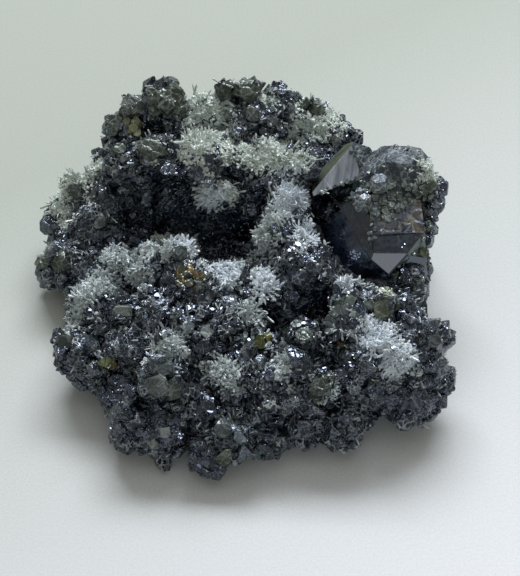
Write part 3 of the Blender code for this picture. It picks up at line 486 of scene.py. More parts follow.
def black_sphalerite(name, facets, roughness, base=None, rims=0.0, shine=SHINE):
    """Iron-rich sphalerite, grown as crystals: near black, with an adamantine to half metallic
    shine that mirrors the light off each flat face. base is the colours to mottle; without it each
    crystal has its own colour, kept in the mesh, with its wear as that colour's alpha.
    facets: (cell size in mm, how far out of true its face stands), for the intergrown crystals too small
    to model. rims is how pale the rims of the largest of those are: partly wear, and partly painted
    highlight where their edges catch the light."""
    material, tree, shader = new_material(name, IOR=SPHALERITE_IOR, Specular_Tint=srgb(shine))
    coords = add(tree, "TexCoord").outputs["Object"]
    patches = add(
        tree, "TexNoise", {"Vector": coords, "Scale": 1 / (MOTTLE * MM), "Detail": 4.0}
    ).outputs["Fac"]
    if base:
        places = [0.36 + 0.28 * i / (len(base) - 1) for i in range(len(base))]
        colour = ramp(tree, patches, *zip(places, base))
        wear = 1.0
    else:
        attribute = add(tree, "Attribute", attribute_name="colour")
        worn_out = attribute.outputs["Alpha"]
        wear = add(tree, "MapRange", {"Value": worn_out, 1: 0.0, 2: USUAL_WEAR}).outputs[0]
        shade = ramp(tree, patches, (0.3, "#9a9a9a"), (0.7, "#ffffff"))
        colour = add(
            tree, "Mix", {0: 1.0, 6: attribute.outputs["Color"], 7: shade}, data_type="RGBA",
            blend_type="MULTIPLY",
        ).outputs[2]
    normal = add(tree, "NewGeometry").outputs["Normal"]
    height = None
    for size, tilt in facets:
        cell, rim = cells_of(tree, coords, size)
        height = height or rim
        centred = add(tree, "VectorMath", {0: cell, 1: (0.5, 0.5, 0.5)}, operation="SUBTRACT")
        normal = add(
            tree, "VectorMath", {0: centred.outputs[0], 1: (tilt,) * 3, 2: normal},
            operation="MULTIPLY_ADD",
        ).outputs[0]
    normal = add(tree, "VectorMath", {0: normal}, operation="NORMALIZE").outputs[0]
    if rims:
        # Pale rims: partly wear, partly painted highlight on the edges that catch the light.
        line = add(tree, "MapRange", {"Value": height, 1: 0.03, 2: 0.13, 3: rims, 4: 0.0})
        worn_and_lit = add(tree, "MapRange", {"Value": patches, 1: 0.42, 2: 0.56, 4: wear})
        pale = add(tree, "Math", {0: line.outputs[0], 1: worn_and_lit.outputs[0]}, operation="MULTIPLY")
        colour = add(
            tree, "Mix", {0: pale.outputs[0], 6: colour, 7: srgb(RIM_WEAR_AND_HIGHLIGHT)}, data_type="RGBA"
        ).outputs[2]
        step = add(tree, "MapRange", {"Value": height, 1: 0.0, 2: 0.2}).outputs[0]
        bump = {"Strength": 0.8, "Distance": RIM_DEPTH * MM, "Height": step, "Normal": normal}
        normal = add(tree, "Bump", bump).outputs[0]
    tree.links.new(colour, shader.inputs["Base Color"])
    grain = add(tree, "TexNoise", {"Vector": coords, "Scale": 1 / (WEAR_GRAIN * MM), "Detail": 2.0})
    least, most = roughness
    rough = add(
        tree, "MapRange", {"Value": grain.outputs["Fac"], 1: 0.35, 2: 0.65, 3: least, 4: most}
    ).outputs[0]
    if not base:
        dull = add(tree, "MapRange", {"Value": worn_out, 1: USUAL_WEAR, 2: 1.0, 3: 0.0, 4: 0.3})
        rough = add(tree, "Math", {0: rough, 1: dull.outputs[0]}, operation="ADD").outputs[0]
    tree.links.new(rough, shader.inputs["Roughness"])
    tree.links.new(normal, shader.inputs["Normal"])
    return material


def streaked_sphalerite(name, dark, light, roughness, along, spacing):
    """A growth face of sphalerite, with fine streaks along one direction, spacing mm apart, and
    paler colour."""
    material, tree, shader = new_material(name, IOR=SPHALERITE_IOR, Specular_Tint=srgb(SHINE))
    coords = add(tree, "TexCoord").outputs["Object"]
    turn = Vector(along).to_track_quat("X", "Z").to_euler()
    turned = add(
        tree, "Mapping", {"Vector": coords, "Rotation": turn, "Scale": (STREAK_LENGTH, 1.0, 1.0)},
        vector_type="TEXTURE",
    ).outputs[0]
    fine = {"Vector": turned, "Scale": 1 / (spacing * MM), "Detail": 4.0, "Roughness": 0.7}
    streaks = add(tree, "TexNoise", fine).outputs["Fac"]
    tree.links.new(ramp(tree, streaks, (0.36, dark), (0.64, light)), shader.inputs["Base Color"])
    least, most = roughness
    rough = add(tree, "MapRange", {"Value": streaks, 1: 0.3, 2: 0.7, 3: least, 4: most})
    tree.links.new(rough.outputs[0], shader.inputs["Roughness"])
    bump = add(tree, "Bump", {"Strength": 0.6, "Distance": STREAK_DEPTH * MM, "Height": streaks})
    tree.links.new(bump.outputs[0], shader.inputs["Normal"])
    return material


def needle_quartz(name, clearness):
    """Quartz, grown as fine needles: clearest in a blade that stands alone and milky in a mat."""
    material, tree, shader = new_material(
        name, IOR=QUARTZ_IOR, Roughness=0.25, Transmission_Weight=clearness
    )
    own = add(tree, "Attribute", attribute_name="colour").outputs["Color"]
    tree.links.new(own, shader.inputs["Base Color"])
    return material


# --- The specimen's surface, and where the picture shows it ---
def mesh_arrays(obj):
    """An object's points, and its triangles as numbers of points."""
    mesh = obj.data
    mesh.calc_loop_triangles()
    tris = np.empty(len(mesh.loop_triangles) * 3, np.int32)
    mesh.loop_triangles.foreach_get("vertices", tris)
    points = np.empty(len(mesh.vertices) * 3, np.float32)
    mesh.vertices.foreach_get("co", points)
    return points.reshape(-1, 3).astype(float), tris.reshape(-1, 3)


def surface_of(objects):
    """The surfaces of several pieces, to be struck by lines of sight."""
    points, triangles = [], []
    for obj in objects:
        own_points, own_triangles = mesh_arrays(obj)
        triangles += (own_triangles + len(points)).tolist()
        points += own_points.tolist()
    return BVHTree.FromPolygons(points, triangles)


POINTS, TRIANGLES = mesh_arrays(mass)


def in_picture(points):
    """Where each point stands in the picture, across and down."""
    off = points - np.array(CAMERA)
    depth = -(off @ np.array(AWAY))
    across = PICTURE[0] / 2 + FOCAL * (off @ np.array(RIGHT)) / depth
    down = PICTURE[1] / 2 - FOCAL * (off @ np.array(UP)) / depth
    return np.stack([across, down], axis=1)


def is_seen(points, slack=1.0 * MM):
    """Which points the camera sees, or would see if they stood nearer to it by the slack."""
    seen = np.zeros(len(points), bool)
    for i, point in enumerate(points):
        ray = Vector(point) - CAMERA
        hit = GROUND.ray_cast(CAMERA, ray.normalized())
        seen[i] = hit[0] is not None and hit[3] > ray.length - slack
    return seen


def around(across, down, wide, high, angle, out):
    """The picture place that lies at an angle on an oval; out is 1 on its rim."""
    return across + wide * out * math.cos(angle), down + high * out * math.sin(angle)


def view_ray(across, down):
    """The camera's line of sight through a picture place."""
    ray = RIGHT * (across - PICTURE[0] / 2) / FOCAL - UP * (down - PICTURE[1] / 2) / FOCAL - AWAY
    return ray.normalized()


def ground_at(across, down):
    """The point of the sphalerite that the picture shows there, and its normal."""
    point, normal, _, _ = GROUND.ray_cast(CAMERA, view_ray(across, down))
    return point, normal


def spots_on_ground(count, rng):
    """Points spread evenly over the sphalerite, and the normal at each."""
    a, b, c = (POINTS[TRIANGLES[:, i]] for i in range(3))
    cross = np.cross(b - a, c - a)
    area = np.linalg.norm(cross, axis=1)
    pick = rng.choice(len(area), count, p=area / area.sum())
    u, v = np.sqrt(rng.random(count)), rng.random(count)
    weights = np.stack([1 - u, u * (1 - v), u * v])[:, :, None]
    spots = a[pick] * weights[0] + b[pick] * weights[1] + c[pick] * weights[2]
    return spots, cross[pick] / area[pick][:, None]


def spaced(spots, gaps):
    """Which spots to keep so that none is nearer to one before it than that one's gap."""
    tree = KDTree(len(spots))
    for i, spot in enumerate(spots):
        tree.insert(spot, i)
    tree.balance()
    keep = np.ones(len(spots), bool)
    for i, spot in enumerate(spots):
        if keep[i]:
            for _, j, _ in tree.find_range(spot, gaps[i]):
                if j > i:
                    keep[j] = False
    return keep


def height_above(spots, centre, planes):
    """How far each spot stands above a large crystal's faces, in mm."""
    at = spots / MM - np.array(centre) - (0, SHIFT_Y, 0)
    return np.max([at @ np.array(Vector(n).normalized()) - d for n, d, _ in planes], axis=0)


def inside_discs(at, discs):
    """How deep each picture place is inside the nearest disc: 0 in its middle, 1 on its rim."""
    return np.min([np.hypot(at[:, 0] - x, at[:, 1] - y) / radius for x, y, radius in discs], axis=0)


def half_way(light):
    """Which way a face looks that shows the camera a light in its mirror."""
    return (AWAY + Vector(LIGHTS[light][0]).normalized()).normalized()


# --- Shapes that are repeated ---
def triangles_of(bm):
    """The vertices and triangles of a bmesh, as arrays."""
    bmesh.ops.triangulate(bm, faces=bm.faces[:])
    bm.verts.index_update()
    points = np.array([v.co[:] for v in bm.verts], np.float32)
    faces = np.array([[v.index for v in f.verts] for f in bm.faces], np.int32)
    bm.free()
    return points, faces


def cut_by_planes(planes, reach):
    """A convex crystal: a cube of half-width reach, cut by each (direction, distance) in turn.
    Each face keeps the number of its plane as its material index."""
    bm = bmesh.new()
    bmesh.ops.create_cube(bm, size=2 * reach)
    for i, (direction, distance) in enumerate(planes):
        normal = Vector(direction).normalized()
        geometry = bm.verts[:] + bm.edges[:] + bm.faces[:]
        cut = bmesh.ops.bisect_plane(
            bm, geom=geometry, plane_co=normal * distance, plane_no=normal, clear_outer=True
        )
        rim = [e for e in cut["geom_cut"] if isinstance(e, bmesh.types.BMEdge)]
        if rim:
            for face in bmesh.ops.contextual_create(bm, geom=rim)["faces"]:
                face.material_index = i
    bmesh.ops.recalc_face_normals(bm, faces=bm.faces[:])
    return bm


TETRAHEDRON = ((1, 1, 1), (1, -1, -1), (-1, 1, -1), (-1, -1, 1))
COUNTER = ((-1, -1, -1), (-1, 1, 1), (1, -1, 1), (1, 1, -1))
DODECAHEDRON = [
    axis for a in (-1, 1) for b in (-1, 1) for axis in ((a, b, 0), (a, 0, b), (0, a, b))
]
CUBE = ((1, 0, 0), (-1, 0, 0), (0, 1, 0), (0, -1, 0), (0, 0, 1), (0, 0, -1))
CRYSTAL_REACH = 1.6  # half the side of the cube that a crystal of radius 1 is cut from
HABITS = ("knob", "block", "splinter", "plate")
VARIANTS = 4  # shapes of each habit


def sphalerite_planes(rng, blocky):
    """Faces of a sphalerite crystal of radius 1: a tetrahedron with cut corners and edges."""
    planes = [(n, 0.62 * rng.uniform(0.8, 1.2)) for n in TETRAHEDRON]
    planes += [(n, rng.uniform(0.66, 0.95)) for n in COUNTER]
    if blocky:
        planes += [(n, rng.uniform(0.7, 0.98)) for n in CUBE]
    return planes


def small_crystals(rng, count):
    """Small crystals of radius 1; two in three are blocky."""
    return [
        triangles_of(cut_by_planes(sphalerite_planes(rng, i % 3), CRYSTAL_REACH)) for i in range(count)
    ]


def single_crystals(rng):
    """Crystals of radius 1 of each habit, turned so that the broadest face looks along +Z."""
    shapes = []
    for habit in HABITS:
        for _ in range(VARIANTS):
            if habit == "knob":
                planes = [(n, rng.uniform(0.82, 0.96)) for n in DODECAHEDRON]
                planes += [((0, 0, 1), 0.72)]
            elif habit == "splinter":
                planes = [(n, rng.uniform(0.46, 0.62)) for n in TETRAHEDRON]
                planes += [(n, rng.uniform(0.72, 0.95)) for n in COUNTER]
            else:
                high = 0.66 if habit == "block" else 0.36
                planes = [(n, rng.uniform(0.66, 0.86)) for n in CUBE[:4]]
                planes += [((0, 0, 1), high), ((0, 0, -1), 0.9)]
                planes += [(n, rng.uniform(0.86, 1.05)) for n in TETRAHEDRON + COUNTER]
            bm = cut_by_planes(planes, CRYSTAL_REACH)
            if habit == "splinter":
                bm.transform(Vector((1, 1, 1)).to_track_quat("Z", "Y").inverted().to_matrix().to_4x4())
            shapes.append(triangles_of(bm))
    return shapes


def needles(rng, count):
    """Quartz needles of length 1 and radius near 1, foot at the origin: six-sided, with a skewed
    point."""
    shapes = []
    for _ in range(count):
        bm = bmesh.new()
        bmesh.ops.create_cone(
            bm, segments=6, radius1=0.8, radius2=rng.uniform(0.75, 1.0), depth=1.0, cap_ends=True
        )
        bmesh.ops.translate(bm, verts=bm.verts[:], vec=(0, 0, 0.5))
        top = max(bm.faces, key=lambda f: f.calc_center_median().z)
        for vert in top.verts:
            vert.co.z = rng.uniform(0.72, 0.84)
        tip = bmesh.ops.poke(bm, faces=[top])["verts"][0]
        tip.co = Vector((rng.uniform(-0.35, 0.35), rng.uniform(-0.35, 0.35), 1.0))
        shapes.append(triangles_of(bm))
    return shapes


def turns(rng, count):
    """Random turns, as an array of 3 by 3 matrices."""
    q = rng.normal(size=(count, 4))
    w, x, y, z = (q / np.linalg.norm(q, axis=1)[:, None]).T
    rows = [
        [1 - 2 * (y * y + z * z), 2 * (x * y - z * w), 2 * (x * z + y * w)],
        [2 * (x * y + z * w), 1 - 2 * (x * x + z * z), 2 * (y * z - x * w)],
        [2 * (x * z - y * w), 2 * (y * z + x * w), 1 - 2 * (x * x + y * y)],
    ]
    return np.array(rows).transpose(2, 0, 1)


def turns_to(directions, rng):
    """Turns that take +Z to each direction, with a random spin about it."""
    z = directions / np.linalg.norm(directions, axis=1)[:, None]
    x = np.cross(rng.normal(size=z.shape), z)
    x /= np.linalg.norm(x, axis=1)[:, None]
    return np.stack([x, np.cross(z, x), z], axis=2)


def joined_copies(name, shapes, kinds, places, turned, sizes, colours, material, foot=1.0):
    """One mesh of many copies of the shapes: kinds says which shape, and sizes is per axis, in metres.
    Copies that would leave the specimen's box are seated deeper. foot is how bright a copy is at its
    foot, at height 0, against its tip at height 1: a painted shade, darker where the copies crowd at
    their feet."""
    parts, faces, shades = [], [], []
    offset = 0
    for k, (points, tris) in enumerate(shapes):
        chosen = np.flatnonzero(kinds == k)
        local = points[None] * sizes[chosen][:, None, :]
        placed = np.einsum("nij,nkj->nki", turned[chosen], local) + places[chosen][:, None, :]
        placed -= np.maximum(placed.max(1) - HIGH, 0)[:, None]
        placed += np.maximum(LOW - placed.min(1), 0)[:, None]
        starts = offset + np.arange(len(placed)) * len(points)
        parts.append(placed.reshape(-1, 3))
        faces.append((tris[None] + starts[:, None, None]).reshape(-1, 3))
        tone = np.ones((len(points), 4))
        # Painted shade: each copy is darker towards its foot.
        tone[:, :3] = foot + (1 - foot) * np.clip(points[:, 2:], 0, 1)
        shades.append((colours[chosen][:, None] * tone[None]).reshape(-1, 4))
        offset += len(placed) * len(points)
    return piece_from_arrays(
        name, np.concatenate(parts), np.concatenate(faces), np.concatenate(shades), material
    )


def piece_from_arrays(name, points, tris, colours, material):
    """A piece of flat triangles, with a colour at each point."""
    mesh = bpy.data.meshes.new(name)
    mesh.vertices.add(len(points))
    mesh.vertices.foreach_set("co", points.astype(np.float32).ravel())
    mesh.loops.add(tris.size)
    mesh.loops.foreach_set("vertex_index", tris.astype(np.int32).ravel())
    mesh.polygons.add(len(tris))
    mesh.polygons.foreach_set("loop_start", np.arange(0, tris.size, 3, dtype=np.int32))
    mesh.update(calc_edges=True)
    mesh.validate()
    mesh.shade_flat()
    colour = mesh.attributes.new("colour", "FLOAT_COLOR", "POINT")
    colour.data.foreach_set("color", colours.astype(np.float32).ravel())
    return finished(name, mesh, [material])


def finished(name, mesh, materials):
    """A piece that rides on the specimen, with its finish."""
    for material in materials:
        mesh.materials.append(material)
    obj = bpy.data.objects.new(name, mesh)
    bpy.context.scene.collection.objects.link(obj)
    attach(obj, "root")
    return obj


# --- Sphalerite ---
def finish_mass():
    """The sphalerite's own solid, as the ground that all the rest grows on."""
    material = black_sphalerite(
        "black_sphalerite_mass", ((1.4, 0.34), (0.5, 0.2)), (0.14, 0.4), ("#050812", "#0f1522"), 0.35
    )
    mass.data.materials.clear()
    mass.data.materials.append(material)


def on_plane(across, down, point, normal):
    """Where the camera's line through a picture place meets a plane."""
    ray = view_ray(across, down)
    return CAMERA + ray * ((point - CAMERA).dot(normal) / ray.dot(normal))


def growth_layer(bm, direction, rim, covered, thickness, finish):
    """Raises the part of a crystal face on one side of a line by a layer, as crystals grow."""
    normal = Vector(direction).normalized()
    same = [f for f in bm.faces if f.normal.dot(normal) > SAME_WAY]
    face = max(same, key=lambda f: f.calc_center_median().dot(normal))
    at = face.calc_center_median()
    start, end, inner = (on_plane(*spot, at, normal) for spot in (*rim, covered))
    across = (end - start).cross(normal).normalized()
    across *= 1 if (inner - start).dot(across) > 0 else -1
    geometry = [face] + face.edges[:] + face.verts[:]
    bmesh.ops.bisect_plane(bm, geom=geometry, plane_co=start, plane_no=across)
    parts = [
        f for f in bm.faces
        if f.normal.dot(normal) > SAME_WAY
        and abs((f.calc_center_median() - at).dot(normal)) < SAME_HEIGHT
        and (f.calc_center_median() - start).dot(across) > 0
    ]
    raised = bmesh.ops.extrude_face_region(bm, geom=parts)["geom"]
    corners = [v for v in raised if isinstance(v, bmesh.types.BMVert)]
    bmesh.ops.translate(bm, verts=corners, vec=normal * thickness * MM)
    for corner in corners:
        for face in corner.link_faces:
            face.material_index = finish


def finish_large_crystals():
    """The four large crystals, each face with its own finish and each edge slightly worn."""
    finishes = {
        "black": black_sphalerite(
            "black_sphalerite_faces", ((4.0, 0.04), (1.1, 0.03)), (0.06, 0.22), ("#070b15", "#131a28")
        ),
        "grey": black_sphalerite(
            "grey_sphalerite_faces", ((1.3, 0.45), (0.45, 0.3)), (0.6, 0.8), ("#12170f", "#30372f"), 0.45
        ),
        "olive": streaked_sphalerite(
            "olive_sphalerite_faces", "#454c3c", "#6c745c", (0.22, 0.4), (0.64, 0.3, 0.7), 0.9
        ),
        # The wedge's pale front face: its paleness is painted sheen, for a face that catches the light,
        # and its streaks are growth lines.
        "pale": streaked_sphalerite(
            "pale_sheen_sphalerite_faces", "#787e81", "#c8cecf", (0.3, 0.46), (0.16, 0.75, 0.62), 0.9
        ),
        "amber": black_sphalerite(
            "amber_sphalerite_faces", ((2.2, 0.2), (0.7, 0.12)), (0.12, 0.34),
            ("#0a0a09", "#1e180d", "#3c3017", "#5c4a22"), 0.3
        ),
        "bronze": streaked_sphalerite(
            "bronze_sphalerite_faces", "#05070c", "#35322a", (0.12, 0.32), (0.5, 0.45, -0.7), 0.8
        ),
        "mirror": black_sphalerite(
            "mirror_sphalerite_faces", ((6.0, 0.01),), (0.07, 0.12), ("#22262a", "#2c3034"),
            shine=NEUTRAL_SHINE,
        ),
    }
    order = list(finishes)
    pieces = []
    for name, (centre, planes) in LARGE_CRYSTALS.items():
        bm = cut_by_planes([(n, (d + COVER) * MM) for n, d, _ in planes], LARGE_REACH * MM)
        bm.transform(Matrix.Translation((Vector(centre) + Vector((0, SHIFT_Y, 0))) * MM))
        for face in bm.faces:
            face.material_index = order.index(planes[face.material_index][2])
        for crystal, plane, rim, covered, thickness, finish in GROWTH_STEPS:
            if crystal == name:
                growth_layer(bm, planes[plane][0], rim, covered, thickness, order.index(finish))
        sharp = [e for e in bm.edges if e.calc_face_angle(0) > SHARP]
        bmesh.ops.bevel(
            bm, geom=sharp, offset=BEVEL * MM, segments=2, profile=0.5, affect="EDGES", material=-1
        )
        mesh = bpy.data.meshes.new(name)
        bm.to_mesh(mesh)
        bm.free()
        pieces.append(finished(name + "_faces", mesh, list(finishes.values())))
    return pieces


def drift(spots, period):
    """A value from about -3 to 3 that changes slowly from place to place; period is in mm."""
    x, y, z = (spots / MM * 2 * math.pi / period).T
    return np.sin(x + 0.6 * y) + np.sin(1.1 * y - 0.5 * z + 2) + np.sin(z + 0.7 * x)


def crystal_colours(spots, rng):
    """Each crystal's colour: black, a few grey, and the tones of the part it grows on, with painted
    shade that darkens those in the vug and on the shaded front.
    """
    count = len(spots)
    blacks = np.array([srgb(code) for code in BLACKS])
    colours = blacks[rng.integers(0, len(blacks), count)]
    grey = rng.random(count) < GREY_SHARE
    colours[grey] = srgb(GREY)
    at = in_picture(spots)
    seen = is_seen(spots, 1.5 * MM)
    for across, down, radius, code in CRYSTAL_TONES:
        near = np.hypot(at[:, 0] - across, at[:, 1] - down) / radius
        chosen = seen & (rng.random(count) < np.clip(1.8 - 1.5 * near, 0, 0.85))
        colours[chosen] = srgb(code)
    colours[:, :3] *= (rng.uniform(0.5, 1.25, count) * np.exp(0.35 * drift(spots, 9)))[:, None]
    usual = USUAL_WEAR * np.clip(0.65 + 0.35 * drift(spots, 13), 0.1, 1)
    colours[:, 3] = np.where((inside_discs(at, DULL) < 1) & seen, 1.0, usual)
    # Painted shade: in the vug and on the shaded front the crystals are made darker, and unworn.
    shaded_clean = (inside_discs(at, SHADED_CLEAN) < rng.uniform(0.8, 1.1, count)) & seen
    colours[shaded_clean] *= (0.5, 0.5, 0.6, 0.1)
    return colours


def patch_turns(spots, rng):
    """Turns, some of which the crystals of one patch share, as those that grew in parallel do."""
    patches = np.floor(spots / (PATCH * MM)).astype(int) @ np.array(PATCH_STEPS)
    shared = turns(rng, PATCH_TURNS)[patches % PATCH_TURNS]
    own = turns(rng, len(spots))
    return np.where((rng.random(len(spots)) < PARALLEL_SHARE)[:, None, None], shared, own)


def grow_small_crystals():
    """The crust of small crystals. It is thin where quartz grows on it, and where single
    crystals or the faces of the large ones show."""
    rng = draws("small_crystals")
    shapes = small_crystals(rng, CRUST_SHAPES)
    material = black_sphalerite(
        "black_sphalerite_crystals", ((1.1, 0.18), (0.45, 0.06)), (0.08, 0.28), rims=0.9
    )
    clear = [(x, y, max(radius * PIXELS * 0.8, 4)) for x, y, radius, *_ in FEATURES + GLINTS]
    dome = LARGE_CRYSTALS["domed_crystal"]
    for name, tried, least, most, share in CRUST:
        spots, normals = spots_on_ground(tried, rng)
        radii = rng.uniform(least, most, tried)
        keep = (spots[:, 2] > CRUST_FOOT * MM) & (normals[:, 2] > -0.9)
        keep &= (radii < LARGEST_ON_DOME) | (height_above(spots, *dome) > 1.0)
        for crystal, (centre, planes) in LARGE_CRYSTALS.items():
            rough = ROUGH_SHARE[crystal]
            near_face = height_above(spots, centre, planes) < 0.05 + (1 - rough) * radii * 0.7
            keep &= ~near_face | (rng.random(tried) < rough / radii)
        keep &= ~on_quartz_ground(spots) | (rng.random(tried) < share)
        hidden = ~is_seen(spots)
        uncovered = inside_discs(in_picture(spots), clear) > 1
        keep &= hidden | uncovered | (rng.random(tried) < share)
        spots, normals, radii = spots[keep], normals[keep], radii[keep]
        keep = spaced(spots, radii * CRUST_GAP * MM)
        spots, normals, radii = spots[keep], normals[keep], radii[keep]
        count = len(spots)
        sunk = rng.uniform(*CRUST_SUNK, count)
        sunk[height_above(spots, *dome) < 0.4] += 0.4
        places = spots - normals * (radii * sunk * MM)[:, None]
        sizes = radii[:, None] * MM * rng.uniform(*CRUST_STRETCH, (count, 3))
        joined_copies(
            name, shapes, rng.integers(0, len(shapes), count), places, patch_turns(spots, rng), sizes,
            crystal_colours(spots, rng), material,
        )


def place_singles(name, rows, shapes, lift, stray, material):
    """Crystals placed one by one. rows: across, down, radius in mm, habit, colour and, for some,
    the light that the broadest face mirrors. On the others it looks along the ground's normal, and
    stray is how far out of true it stands. lift is how far each stands clear, in radii."""
    rng = draws(name)
    kinds, places, directions, sizes, colours = [], [], [], [], []
    for across, down, radius, habit, code, *light in rows:
        point, normal = ground_at(across, down)
        facing = half_way(*light) if light else (normal * 1.2 + AWAY).normalized()
        jitter = Vector(rng.normal(size=3)) * (0.03 if light else stray)
        kinds.append(HABITS.index(habit) * VARIANTS + rng.integers(VARIANTS))
        places.append(point + AWAY * radius * lift * MM)
        directions.append(facing + jitter)
        sizes.append(radius * MM * rng.uniform(0.7, 1.2, 3))
        colour = np.array(srgb(code))
        colour[3] = 0.1 + 0.5 * colour[:3].min() / colour[:3].max()  # brown ones are the cleanest
        colours.append(colour)
    joined_copies(
        name, shapes, np.array(kinds), np.array(places), turns_to(np.array(directions), rng),
        np.array(sizes), np.array(colours), material,
    )


def chips():
    """The rows of place_singles for the chips, in rows and in patches."""
    rng = draws("chips")
    spots = []
    for start, end, count, radius, code in CHIP_ROWS_AND_EDGE_HIGHLIGHTS:
        for share in np.linspace(0, 1, count):
            spot = np.array(start) * (1 - share) + np.array(end) * share + rng.normal(0, 0.9, 2)
            spots.append((*spot, radius, code))
    for across, down, wide, high, count, radius, code in CHIP_PATCHES:
        for angle, out in zip(rng.uniform(0, 2 * math.pi, count), np.sqrt(rng.random(count))):
            spots.append((*around(across, down, wide, high, angle, out), radius, code))
    return [
        (across, down, radius * rng.uniform(0.6, 1.5), rng.choice(HABITS[1:]), code)
        for across, down, radius, code in spots
    ]


def grow_single_crystals():
    """The crystals that can be told apart, the chips, and those that throw a light back."""
    shapes = single_crystals(draws("single_shapes"))
    dull = black_sphalerite(
        "black_sphalerite_singles", ((1.6, 0.2), (0.6, 0.14)), (0.18, 0.42), rims=0.4, shine=OLIVE_SHINE
    )
    place_singles("sphalerite_crystals_single", FEATURES, shapes, 0.22, 0.12, dull)
    place_singles("sphalerite_chips", chips(), shapes, 0.3, 0.8, dull)
    bright = black_sphalerite("black_sphalerite_mirrors", ((3.0, 0.02),), (0.08, 0.16))
    glints = [(*spot, "splinter", "#12161d", "window") for spot in GLINTS]
    rng = draws("sparkles")
    for across, down, reach, count, light in SPARKLES:
        for _ in range(count):
            angle, out = rng.uniform(0, 2 * math.pi), math.sqrt(rng.random())
            spot = around(across, down, reach, reach, angle, out)
            # The tiny ones are pale blue-grey: a painted highlight, on top of the light their faces
            # throw back.
            glints.append((*spot, rng.uniform(0.13, 0.24), "splinter", "#8d9aab", light))
    place_singles("sphalerite_crystals_bright", glints, shapes, 1.0, 0.0, bright)


# --- Quartz ---
def quartz_colours(spots, rng):
    """Quartz is greenish towards the rear and darker and greyer in front, painted light for the tint and
    strength of the light there, and clean white in a few patches.
    """
    pairs = np.array([[srgb(c) for c in pair] for pair in QUARTZ_TONES_AND_LIGHT])
    rear = spots[:, 1] > rng.normal(6, 3, len(spots)) * MM
    white = inside_discs(in_picture(spots), WHITE_QUARTZ) < rng.uniform(0.7, 1.1, len(spots))
    tone = pairs[np.where(white, 2, np.where(rear, 0, 1))]
    mix = rng.random(len(spots))[:, None]
    return tone[:, 0] * mix + tone[:, 1] * (1 - mix)


def quartz_piece(name, shapes, kinds, spots, sunk, directions, sizes, material, rng):
    """One mesh of quartz needles: kinds says which shape each has, spots are the places it is
    coloured by, and sunk how far its foot lies from there."""
    return joined_copies(
        name, shapes, kinds, spots - sunk, turns_to(directions, rng), sizes,
        quartz_colours(spots, rng), material, FOOT_SHADE,
    )


def depth_in_side_druse(spots):
    """How deep each spot is inside the nearest mat of the far sides: 0 in its middle, 1 on its rim."""
    middles = np.array(SIDE_DRUSE)[:, :3] + (0, SHIFT_Y, 0)
    off = np.linalg.norm(spots[:, None] / MM - middles[None], axis=2)
    return (off / np.array(SIDE_DRUSE)[:, 3]).min(1)


def on_quartz_ground(spots):
    """Whether each spot of the sphalerite lies under a mat or a spray of quartz."""
    seats = np.array([burst[:3] for bursts in BURSTS.values() for burst in bursts])
    seats[:, 1] += SHIFT_Y
    tree = KDTree(len(seats))
    for i, seat in enumerate(seats * MM):
        tree.insert(seat, i)
    tree.balance()
    near_seat = np.array([tree.find(spot)[2] for spot in spots]) < SEAT_REACH * MM
    mats = [disc for discs in DRUSE.values() for disc in discs]
    matted = (inside_discs(in_picture(spots), mats) < 1.15) & is_seen(spots)
    return near_seat | matted | (depth_in_side_druse(spots) < 1)


def grow_sprays(shapes, material):
    """The bursts of needles that stand for the quartz solids."""
    rng = draws("sprays")
    for node, bursts in BURSTS.items():
        starts, directions, lengths = [], [], []
        for x, y, z, length in bursts:
            seat, normal, _, _ = GROUND.find_nearest(Vector((x, y + SHIFT_Y, z)) * MM)
            tries = rng.normal(size=(BURST_TRIES, 3)) + np.array(normal) * 0.8
            tries /= np.linalg.norm(tries, axis=1)[:, None]
            tries = tries[tries @ np.array(normal) > 0.1][:BURST_NEEDLES]
            spread = np.array(seat) + rng.normal(size=tries.shape) * BURST_FOOT * MM
            starts.append([GROUND.find_nearest(start)[0] for start in spread])
            directions.append(tries)
            lengths.append(length * (0.2 + 0.75 * rng.random(len(tries)) ** 2))
        starts, directions, lengths = map(np.concatenate, (starts, directions, lengths))
        count = len(lengths)
        radii = rng.uniform(*BURST_RADII, count)
        radii[::3] = rng.uniform(*STOUT_RADII, len(radii[::3]))
        lengths[::3] = rng.uniform(*STOUT_LENGTHS, len(lengths[::3]))
        sizes = np.stack([radii, radii * rng.uniform(0.4, 0.9, count), lengths], axis=1) * MM
        kinds = rng.integers(0, len(shapes), count)
        piece = quartz_piece(
            node + "_needles", shapes, kinds, starts, 0.0, directions, sizes, material, rng
        )
        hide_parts(node)


def druse_mat(name, spots, normals, shapes, material, rng):
    """A mat of short needles, one on each spot that is far enough from the last, with a bed of
    stubs between them."""
    keep = spaced(spots, np.full(len(spots), MAT_GAP * MM))
    spots, normals = spots[keep], normals[keep]
    count = len(spots)
    directions = rng.normal(size=(count, 3)) * 0.7 + normals
    lengths = 0.4 + 1.2 * rng.random(count) ** 2
    radii = rng.uniform(*MAT_RADII, count)
    stubs = rng.random(count) < STUB_SHARE
    radii[stubs] = rng.uniform(*STUB_RADII, stubs.sum())
    lengths[stubs] = rng.uniform(*STUB_LENGTHS, stubs.sum())
    directions[stubs] = rng.normal(size=(stubs.sum(), 3)) * 0.35 + normals[stubs]
    sizes = np.stack([radii, radii * rng.uniform(0.5, 1.0, count), lengths], axis=1) * MM
    kinds = rng.integers(0, len(shapes), count)
    sunk = normals * MAT_SINK * MM
    quartz_piece(name, shapes, kinds, spots, sunk, directions, sizes, material, rng)


